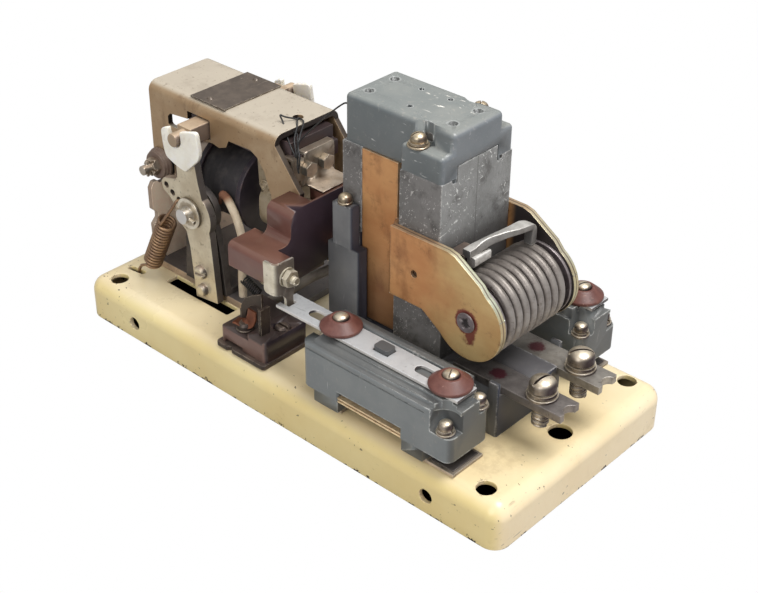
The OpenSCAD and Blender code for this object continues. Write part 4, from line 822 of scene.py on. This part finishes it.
# Threads: a core with a helical crest, from named sizes
def threadTree():
    tree = bpy.data.node_groups.new("threadedShank", "GeometryNodeTree")
    tree.interface.new_socket("Geometry", in_out="INPUT", socket_type="NodeSocketGeometry")
    for name, value in dict(Radius=0.004, Length=0.01, Pitch=0.00125).items():
        tree.interface.new_socket(name, in_out="INPUT", socket_type="NodeSocketFloat").default_value = value
    tree.interface.new_socket("Finish", in_out="INPUT", socket_type="NodeSocketMaterial")
    tree.interface.new_socket("Geometry", in_out="OUTPUT", socket_type="NodeSocketGeometry")
    ask, give = tree.nodes.new("NodeGroupInput"), tree.nodes.new("NodeGroupOutput")

    def node(kind, sockets=None, **settings):
        made = tree.nodes.new(kind)
        for key, value in settings.items():
            setattr(made, key, value)
        for key, value in (sockets or {}).items():
            if isinstance(value, bpy.types.NodeSocket):
                tree.links.new(value, made.inputs[key])
            else:
                made.inputs[key].default_value = value
        return made

    def maths(operation, first, second):
        return node("ShaderNodeMath", {0: first, 1: second}, operation=operation).outputs[0]

    crest = maths("MULTIPLY", ask.outputs["Pitch"], 0.46)
    root = maths("SUBTRACT", ask.outputs["Radius"], crest)
    turns = maths("DIVIDE", ask.outputs["Length"], ask.outputs["Pitch"])
    helix = node("GeometryNodeCurveSpiral", {"Resolution": 24, "Rotations": turns, "Start Radius": root,
                                             "End Radius": root, "Height": ask.outputs["Length"]})
    section = node("GeometryNodeCurvePrimitiveCircle", {"Resolution": 6, "Radius": crest})
    sweep = node("GeometryNodeCurveToMesh", {"Curve": helix.outputs[0], "Profile Curve": section.outputs[0],
                                             "Fill Caps": True})
    core = node("GeometryNodeMeshCylinder", {"Vertices": 32, "Radius": root, "Depth": ask.outputs["Length"]})
    lift = node("ShaderNodeCombineXYZ", {"Z": maths("MULTIPLY", ask.outputs["Length"], 0.5)})
    raised = node("GeometryNodeTransform", {"Geometry": core.outputs[0], "Translation": lift.outputs[0]})
    both = node("GeometryNodeJoinGeometry")
    tree.links.new(raised.outputs[0], both.inputs[0])
    tree.links.new(sweep.outputs[0], both.inputs[0])
    real = node("GeometryNodeRealizeInstances", {"Geometry": both.outputs[0]})
    dressed = node("GeometryNodeSetMaterial", {"Geometry": real.outputs[0], "Material": ask.outputs["Finish"]})
    tree.links.new(dressed.outputs[0], give.inputs[0])
    return tree


threads = threadTree()


def thread(radius, length, pitch=1.25):
    values = {"Radius": radius * mm, "Length": length * mm, "Pitch": pitch * mm, "Finish": finishes["nickel"]}
    piece = newPiece("thread", bpy.data.meshes.new("thread"))
    modifier = piece.modifiers.new("tree", "NODES")
    modifier.node_group = threads
    for item in threads.interface.items_tree:
        if item.item_type == "SOCKET" and item.in_out == "INPUT" and item.name in values:
            modifier[item.identifier] = values[item.name]
    return meshOf(applied(piece))


def mirrored(side):
    return Matrix.Diagonal((1, sides[side], 1, 1))


# Several meshes as one piece, each placed by a matrix, on the front or mirrored to the rear
def joined(name, parts, side="front"):
    work = bmesh.new()
    for mesh, matrix in parts:
        matrix = mirrored(side) @ matrix
        copy = mesh.copy()
        copy.transform(matrix)
        if matrix.determinant() < 0:
            copy.flip_normals()
        work.from_mesh(copy)
        bpy.data.meshes.remove(copy)
    mesh = bpy.data.meshes.new(name)
    work.to_mesh(mesh)
    work.free()
    for face in mesh.polygons:
        face.use_smooth = True
        face.material_index = 0
    mesh.set_sharp_from_angle(angle=math.radians(35))
    return newPiece(name, mesh)


unmoved = Matrix.Identity(4)
axes = {"z": unmoved, "x": Matrix.Rotation(math.pi / 2, 4, "Y"), "-x": Matrix.Rotation(-math.pi / 2, 4, "Y")}


def at(x, y, z, axis="z", turn=0.0):
    return Matrix.Translation(Vector((x, y, z)) * mm) @ axes[axis] @ Matrix.Rotation(math.radians(turn), 4, "Z")


def terminalScrew(side):
    look = dict(x=119.2, y=-13.9, top=49, bar=45, washer=7.2, spring=6.6, head=6.1, rise=6.2, thread=4,
                below=34.7, turn=80 if side == "front" else -45)
    x, y, top = look["x"], look["y"], look["top"]
    parts = [(ringMesh(4.05, look["washer"], 0, 1.4), at(x, y, top)),
             (springWasherMesh(4.1, look["spring"], 1.7, 3.3), at(x, y, top, turn=70 * sides[side])),
             (domeHead(look["head"], look["rise"], look["turn"], 0.42), at(x, y, top + 3.7)),
             (thread(look["thread"], look["bar"] - look["below"] + 0.2), at(x, y, look["below"])),
             (ringMesh(0.5, 3.9, 0, 4), at(x, y, top - 0.1))]
    piece = joined(f"terminalScrew_{side}_body", parts, side)
    place(piece, "frame", "screw_nickel", "nickel", [f"terminal_screw_{side}"])


def auxScrews(side):
    look = dict(xs=(32.3, 95.5), y=-47, seat=64.9, head=3.7, rise=3.3, left=(20.5, -47, 49),
                corners=((101.6, -56.6, 44), (103, -36.6, 47.8)))
    parts = [(domeHead(look["head"], look["rise"], slot), at(x, look["y"], look["seat"] - 0.5))
             for x, slot in zip(look["xs"], (None, 115))]
    for x, y, z in look["corners"]:
        parts += [(ringMesh(1.9, 4.3, 0, 1.1), at(x, y, z)), (springWasherMesh(2, 3.7, 1.3, 2.4, 0.4), at(x, y, z)),
                  (domeHead(3.1, 3.8, None, 0.45), at(x, y, z + 2.6)), (ringMesh(0.4, 1.9, 0, 3), at(x, y, z))]
    x, y, z = look["left"]
    parts += [(ringMesh(1.9, 4.6, 0, 1.5), at(x + 4, y, z, "-x")),
              (springWasherMesh(2, 4, 1.5, 2.5, 0.3), at(x + 4, y, z, "-x")),
              (domeHead(3.4, 3.4, 20), at(x + 1.5, y, z, "-x"))]
    piece = joined(f"auxScrews_{side}_body", parts, side)
    place(piece, "frame", "screw_nickel", "nickel", [f"aux_screws_{side}"])


# The screws on the chute: each spot's front and rear one
def capScrews():
    look = dict(top=(51.8, -20.3, 147), low=(10, -20.6, 104))
    parts = []
    for side in sides:
        flip = mirrored(side)
        x, y, z = look["top"]
        parts += [(ringMesh(2.2, 4.9, 0, 0.9), flip @ at(x, y, z)),
                  (springWasherMesh(2.2, 4.1, 1.1, 2.1, 0.4), flip @ at(x, y, z)),
                  (domeHead(3.5, 3.9, 60, 0.3), flip @ at(x, y, z + 2.2)),
                  (ringMesh(0.4, 2.2, 0, 3), flip @ at(x, y, z))]
        x, y, z = look["low"]
        parts += [(ringMesh(1.9, 3.4, 0, 1.3), flip @ at(x, y, z)),
                  (domeHead(3.2, 3.7, None, 0.3), flip @ at(x, y, z + 1.3))]
    place(joined("capScrews_body", parts), "frame", "dome_brown", "yellow_zinc", ["cap_screws"])


def clipNut(side):
    look = dict(spot=(1.8, -50.3, 75.3), hexagon=[(3.7, 0), (4.3, 0.35), (4.3, 2.9), (3.7, 3.25)])
    x, y, z = look["spot"]
    parts = [(ringMesh(2.1, 4.7, 0, 0.8), at(x, y, z, "x")),
             (lathe(look["hexagon"], 6), at(x + 0.8, y, z, "x", 10)),
             (thread(2, 6.6, 0.8), at(x, y, z, "x")), (ringMesh(0.3, 1.8, 0, 6.5), at(x, y, z, "x"))]
    place(joined(f"clipNut_{side}", parts, side), bodyOfNode[f"carrier_clip_{side}"], "clip_nut", "nickel")


for side in sides:
    clipNut(side)
    terminalScrew(side)
    auxScrews(side)
capScrews()
print("fasteners")


# Corners of a flat outline turned into small arcs
def softened(outline):
    steps, points = 5, []
    for k, (x, z, radius) in enumerate(outline):
        corner = Vector((x, z))
        if not radius:
            points.append(corner)
            continue
        before, after = (Vector(outline[(k + d) % len(outline)][:2]) - corner for d in (-1, 1))
        start = corner + before.normalized() * min(radius, before.length * 0.48)
        end = corner + after.normalized() * min(radius, after.length * 0.48)
        points += [start.lerp(corner, t).lerp(corner.lerp(end, t), t) for t in (i / steps for i in range(steps + 1))]
    return points


# The nylon fork: one soft-cornered moulding with a slot for the bar's pin, its tongue lying on the lever
def nylonFork(side):
    look = dict(pivot=(-79.3, 71), lean=7.4, front=-38.6, back=-36.3, slot=3.8, slotAt=39, rim=0.7)
    slot, node = look["slot"], f"fork_{side}"
    arc = [(slot * math.cos(a), look["slotAt"] + slot * math.sin(a), 0)
           for a in (math.radians(-15 * k) for k in range(13))]
    outline = [(-10.2, 33, 3), (-9.2, 28.4, 2), (-3.4, 25.4, 1), (0.3, 23.9, 0.4), (3.9, 23, 0.6), (11.3, 28.2, 1),
               (14.6, 30.6, 1.5), (16.9, 34.2, 3), (16.5, 45.7, 2.6), (slot, 43.5, 1.6), *arc, (-slot, 44.8, 1.6),
               (-10.1, 42.9, 2.4)]
    plate = newPiece("plate", skin("forkPlate", [[(p.x * mm, y * mm, p.y * mm) for p in softened(outline)]
                                                 for y in (look["front"], look["back"])]))
    bevel = plate.modifiers.new("rim", "BEVEL")
    bevel.width, bevel.segments, bevel.limit_method, bevel.angle_limit = look["rim"] * mm, 3, "ANGLE", math.radians(50)
    x, z = look["pivot"]
    leant = at(x, 0, z) @ Matrix.Rotation(math.radians(-look["lean"]), 4, "Y")
    piece = joined(f"nylonFork_{side}", [(meshOf(applied(plate)), leant)], side)
    place(piece, bodyOfNode[node], "nylon", slotOfNode[node], [node])


for side in sides:
    nylonFork(side)


# Blowout coil: the same round wire as the CAD's, with more rings
def blowoutCoil():
    look = dict(x=87, z=78.5, radius=16.2, wire=4.0, turns=8, cheekIn=23.9, disc=1.6, start=200, steps=48)
    pitch = (2 * (look["cheekIn"] - look["disc"] - 0.3) - look["wire"]) / look["turns"]
    length = pitch * look["turns"]
    points = []
    for i in range(look["turns"] * look["steps"] + 1):
        turn = math.radians(look["start"] + 360 * i / look["steps"])
        points.append((look["x"] + look["radius"] * math.cos(turn), pitch * i / look["steps"] - length / 2,
                       look["z"] + look["radius"] * math.sin(turn)))
    piece = tube("blowoutCoil", scaled(points), look["wire"] / 2, 20, (0, 1, 0))
    place(piece, "frame", "tinned_copper", "tinned_copper", ["blowout_coil"])


blowoutCoil()


# A flat bar bent and twisted by hand: each station is a spot, a width, a thickness and a twist
def flatBar(name, stations, finish, slot, steps=6, corner=0.5, stands=()):
    centres = curve([spot for spot, *_ in stations], steps)
    sizes = curve([size for _, *size in stations], steps)
    rings = []
    for i, (point, (wide, thick, tilt)) in enumerate(zip(centres, sizes)):
        ahead = (centres[min(i + 1, len(centres) - 1)] - centres[max(i - 1, 0)]).normalized()
        across = Vector((1, 0, 0))
        across = (across - ahead * across.dot(ahead)).normalized()
        other = ahead.cross(across)
        turn = math.radians(tilt)
        across, other = (across * math.cos(turn) + other * math.sin(turn),
                         other * math.cos(turn) - across * math.sin(turn))
        outline = []
        for sx, sy in ((1, 1), (-1, 1), (-1, -1), (1, -1)):
            for k in range(4):
                a = math.atan2(sy, sx) + math.radians(-45 + 30 * k)
                outline.append((sx * (wide / 2 - corner) + corner * math.cos(a),
                                sy * (thick / 2 - corner) + corner * math.sin(a)))
        rings.append([(point + across * u + other * v) * mm for u, v in outline])
    place(joined(name, [(skin(name, rings), unmoved)]), "frame", finish, slot, stands)


# The strap from the coil, clamped by a scraped nut
def coilStrap():
    look = dict(
        bar=[((84.2, 18.4, 96.9), 4.4, 3.6, 0), ((84.2, 18.4, 100), 4.4, 3.6, 0), ((84.2, 18.3, 103.6), 4.6, 3.4, 0),
             ((84.1, 17, 105.8), 5.2, 3, 0), ((83.8, 13.4, 106.9), 6.4, 2.8, 0), ((83, 8, 107), 6.2, 2.8, 8),
             ((81, 1.4, 106.4), 5, 3.2, 22), ((78.6, -3.6, 105), 4.4, 3.6, 30), ((77.4, -8, 104), 4.2, 3.8, 20),
             ((77, -13, 103.6), 4.2, 3.8, 0), ((77, -17, 103.5), 4.2, 3.8, 0)],
        nut=[((78.6, -15.6, 99.6), 4.4, 4.4, 0), ((78.6, -4.6, 99.6), 4.4, 4.4, 0)],
        clamp=[((72.2, -17.4, 100), 8, 4.6, 0), ((72.2, -8, 100), 8, 4.6, 0)])
    flatBar("coilStrap", look["bar"], "strap_tin", "tinned_copper", stands=["coil_strap"])
    flatBar("strapNut", look["nut"], "bared_tin", "tinned_copper", 2, 0.8)
    flatBar("strapClamp", look["clamp"], "dark_fitting", "tinned_copper", 2, 0.6)


coilStrap()


# Return springs: close curls with a hook at each end, the upper one round the lever's pin
def returnSpring(side):
    look = dict(top=(-95.3, -38.4, 60.8), low=(-109.3, -38.9, 31.8), radius=4.4, wire=0.75, turns=15, steps=24,
                pivot=(-79.3, -34.3, 71), pin=(-8.26, 0, 3.87))
    top, low = Vector(look["top"]), Vector(look["low"])
    pinAt = Vector([p + q for p, q in zip(look["pivot"], look["pin"])])
    outward, axis = Vector((0, -1, 0)), (low - top).normalized()
    across = (outward - axis * axis.dot(outward)).normalized()
    coil = curls(top, low, across, look["radius"], look["turns"], look["steps"])
    first = [pinAt + Vector(p) for p in ((0, 2.9, 0), (0, 0.6, 0), (0, -2.4, 0), (-0.4, -4, -0.8),
                                         (-2.4, -4.9, -4.6))]
    last = [coil[-1] + Vector((-3.4, -0.2, -1.6)), (-117.6, -39.9, 26.4), (-119.4, -40.3, 23.4), (-119.8, -40.4, 19)]
    points = curve(first + coil[:1], 4)[:-1] + coil + curve(coil[-1:] + last, 4)[1:]
    points = [Vector((x, y * sides[side], z)) * mm for x, y, z in points]
    piece = tube(f"returnSpring_{side}", points, look["wire"], 10)
    piece.data.materials.append(finishes["coppered_steel"])
    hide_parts(f"return_spring_{side}")
    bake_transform(piece)


for side in sides:
    returnSpring(side)


# Leads: the same routes as the CAD's
leadRoute = [(-71.8, -23.5, 73.8), (-71, -23.6, 77.4), (-68.8, -24, 79.9), (-65.6, -24.4, 79.2), (-61.4, -25, 75.4),
             (-58, -25, 69.4), (-55.8, -24.6, 60), (-56, -24.2, 50), (-57.6, -24.2, 40), (-57.8, -24.2, 33),
             (-57.8, -24.2, 29.4), (-57.8, -24.2, 26.6)]
cableRoute = [(-6, -2.6, 66), (-6, -2.6, 64), (-6, -2.6, 61), (-10.4, -8, 55.8), (-18.8, -15, 49.7),
              (-27.8, -20, 41.2), (-35, -23, 34.6), (-38.4, -24, 32), (-39, -24, 29.8), (-39, -24, 28.4),
              (-39, -24, 26.6)]
beadAt = Vector((-24.3, -16.4, 112))
wireRoute = [(-39.4, -0.6, 122.4), (-36.6, -1, 122.8), (-33.4, -3, 122.6), (-28, -11, 120),
             beadAt + Vector((0, 0, 3.4)), beadAt, beadAt + Vector((0.6, -0.4, -3.4)),
             beadAt + Vector((2, -1, -3)), beadAt + Vector((2.6, -1, 2)), (-25, -14.6, 119), (-20, -13.4, 126),
             (-8, -12.4, 138.6), (2, -13, 147.4), (5.6, -13.6, 148.6)]


def lead(name, route, radius, finish, node, steps=6, around=14, extras=()):
    points = scaled(curve(route, steps))
    piece = place(tube(name, points, radius, around), bodyOfNode[node], finish, finish, [node])
    widest = radius(1) if callable(radius) else radius
    2 * widest * mm


lead("coilLead", leadRoute, lambda share: 1.0 if share < 0.16 else 2.1, "cream_sleeve", "coil_lead")
lead("contactCable", cableRoute, 2.4, "copper_braid", "contact_cable")


# The seal wire's twisted second strand and its loose loops
def sealStrands():
    strands = [
        ([(-39, -0.4, 122.6), (-37, -3.4, 123.4), (-33.6, -7.2, 121.6), (-30, -12.4, 119), (-26.8, -15, 115.6),
          (-24.6, -16.2, 112.6), (-23.6, -17, 108.6), (-22.8, -17.2, 105.6)], 0.42),
        ([(-38.4, -1.2, 122.3), (-41.5, -6.6, 124.4), (-43.2, -8.4, 125.4), (-41.2, -8.6, 122.4),
          (-36.4, -11.4, 119.2), (-30.4, -14.6, 116), (-25.2, -16.2, 112.4)], 0.42),
        ([(-34.6, -9, 120.4), (-31, -9.6, 120.2), (-28.6, -12, 118), (-24.8, -15.6, 113), (-23.8, -16.6, 110)], 0.3),
    ]
    return [place(tube(f"sealStrand{k}", scaled(curve(route, 6)), radius, 8), "frame", "dark_wire", "dark_wire")
            for k, (route, radius) in enumerate(strands)]


lead("sealWire", wireRoute, 0.4, "dark_wire", "seal_wire", 8, 8, sealStrands())


# The spring and the copper strip of the small block
def smallExtras():
    look = dict(start=(-36.6, -41.5, 53.4), end=(-26.9, -41.5, 49.6), radius=2.1, wire=0.4, turns=9,
                strip=[((-33, -51.4, 36.6), 6, 1, 0), ((-29, -50.4, 36.6), 6, 1, 0), ((-25.8, -49.4, 37.4), 6, 1, 0),
                       ((-24.5, -48.8, 40.8), 6, 1, 0), ((-24.2, -48.6, 44.6), 5.4, 1, 0)])
    start, end = Vector(look["start"]), Vector(look["end"])
    across = (end - start).normalized().cross(Vector((0, 0, 1))).normalized()
    coil = curls(start, end, across, look["radius"], look["turns"], 20)
    place(tube("blockSpring", scaled(coil), look["wire"], 8), "frame", "black_spring", "dark_steel")
    flatBar("blockStrip", look["strip"], "red_copper", "copper", 5, 0.3)


smallExtras()


# Below each auxiliary block: the two brass strips in its window, and the dark pad glued on its folded foot
def underBlock(side):
    look = dict(strips=((31.1, 32.0), (32.8, 33.7)), x=(42, 80), y=(-60, -54), panel=(-53.9, -52.6, 27, 35.4),
                pad=(93.4, -55.4, 105.6, -38.6, 24.2, 24.75), corner=0.2)
    (left, right), (front, back) = look["x"], look["y"]
    near, far, low, high = look["panel"]
    *pad, padLow, padHigh = look["pad"]
    pieces = [(f"blockBrass_{side}", [(oblong(left, front, right, back), *level) for level in look["strips"]],
               "brass_strip", slotOfNode[f"aux_bracket_{side}"]),
              (f"blockInner_{side}", [(oblong(left - 0.2, near, right + 0.2, far), low, high)], "black_moulding",
               slotOfNode[f"aux_block_{side}"]),
              (f"footPad_{side}", [(oblong(*pad), padLow, padHigh)], "dark_steel", "dark_steel")]
    for name, blocks, finish, slot in pieces:
        piece = joined(name, [(meshOf(prism(*block, side)), unmoved) for block in blocks])
        bevel = piece.modifiers.new("corners", "BEVEL")
        bevel.width, bevel.segments = look["corner"] * mm, 2
        place(applied(piece), "frame", finish, slot)


for side in sides:
    underBlock(side)
print("leads")


# Floor, light and camera: the floor shows white to the camera, and under the pan a painted shadow, near black
def stageScene():
    look = dict(floorSize=6.0, floorColour=(0.42, 0.41, 0.40), under=(0.012, 0.012, 0.012), horizon=0.22,
                zenith=0.75, pan=(0.134, 0.060), blur=0.002)
    mesh = bpy.data.meshes.new("floor")
    half = look["floorSize"] / 2
    mesh.from_pydata([(-half, -half, 0), (half, -half, 0), (half, half, 0), (-half, half, 0)], [], [(0, 1, 2, 3)])
    floor = newPiece("floor", mesh)
    shade = Shade("paleFloor")
    long, deep = (shade.mask(shade.offset(letter), edge, edge - look["blur"])
                  for letter, edge in zip("XY", look["pan"]))
    inside = long * deep
    matt = shade.node("ShaderNodeBsdfDiffuse", {}, {"Color": shade.mix(inside, look["floorColour"], look["under"])})
    glow = shade.node("ShaderNodeEmission", {}, {"Color": (1, 1, 1, 1)})
    seen = shade.node("ShaderNodeLightPath", output="Is Camera Ray")
    mesh.materials.append(shade.shown(shade.node("ShaderNodeMixShader", {}, {
        0: seen * (1 - inside), 1: matt, 2: glow})))

    world = bpy.data.worlds.new("softSky")
    bpy.context.scene.world = world
    world.use_nodes = True
    tree = world.node_tree
    tree.nodes.clear()
    seen, light, white, choose, out, toward, split, rise = (tree.nodes.new(kind) for kind in (
        "ShaderNodeLightPath", "ShaderNodeBackground", "ShaderNodeBackground", "ShaderNodeMixShader",
        "ShaderNodeOutputWorld", "ShaderNodeTexCoord", "ShaderNodeSeparateXYZ", "ShaderNodeMapRange"))
    for key, value in {1: 0.0, 2: 0.9, 3: look["horizon"], 4: look["zenith"]}.items():
        rise.inputs[key].default_value = value
    for ground in (light, white):
        ground.inputs["Color"].default_value = (1, 1, 1, 1)
    for give, take in ((toward.outputs["Generated"], split.inputs[0]), (split.outputs["Z"], rise.inputs[0]),
                       (rise.outputs[0], light.inputs["Strength"]), (seen.outputs["Is Camera Ray"], choose.inputs[0]),
                       (light.outputs[0], choose.inputs[1]), (white.outputs[0], choose.inputs[2]),
                       (choose.outputs[0], out.inputs[0])):
        tree.links.new(give, take)

    lamps = {
        "keyLamp": dict(at=(0.45, 0.15, 1.25), size=0.7, power=17.0),
        "frontLamp": dict(at=(0.2, -1.1, 0.75), size=0.8, power=5.5),
    }
    for name, lamp in lamps.items():
        data = bpy.data.lights.new(name, "AREA")
        data.size, data.energy = lamp["size"], lamp["power"]
        made = newPiece(name, data)
        made.location = lamp["at"]
        made.rotation_euler = (Vector((0, 0, 0.06)) - made.location).to_track_quat("-Z", "Y").to_euler()


def photoCamera():
    look = dict(eye=(397.2, -424.8, 415.6), target=(27.15, -16.59, 60.0), roll=0.486, lens=68.0)
    data = bpy.data.cameras.new("photoCamera")
    data.lens, data.sensor_width, data.clip_start = look["lens"], 36.0, 0.01
    camera = newPiece("photoCamera", data)
    eye, target = Vector(look["eye"]) * mm, Vector(look["target"]) * mm
    turn = (target - eye).to_track_quat("-Z", "Y").to_matrix() @ Matrix.Rotation(math.radians(look["roll"]), 3, "Z")
    camera.matrix_world = Matrix.Translation(eye) @ turn.to_4x4()
    bpy.context.scene.camera = camera


stageScene()
photoCamera()
bpy.context.scene.view_settings.view_transform = "Standard"
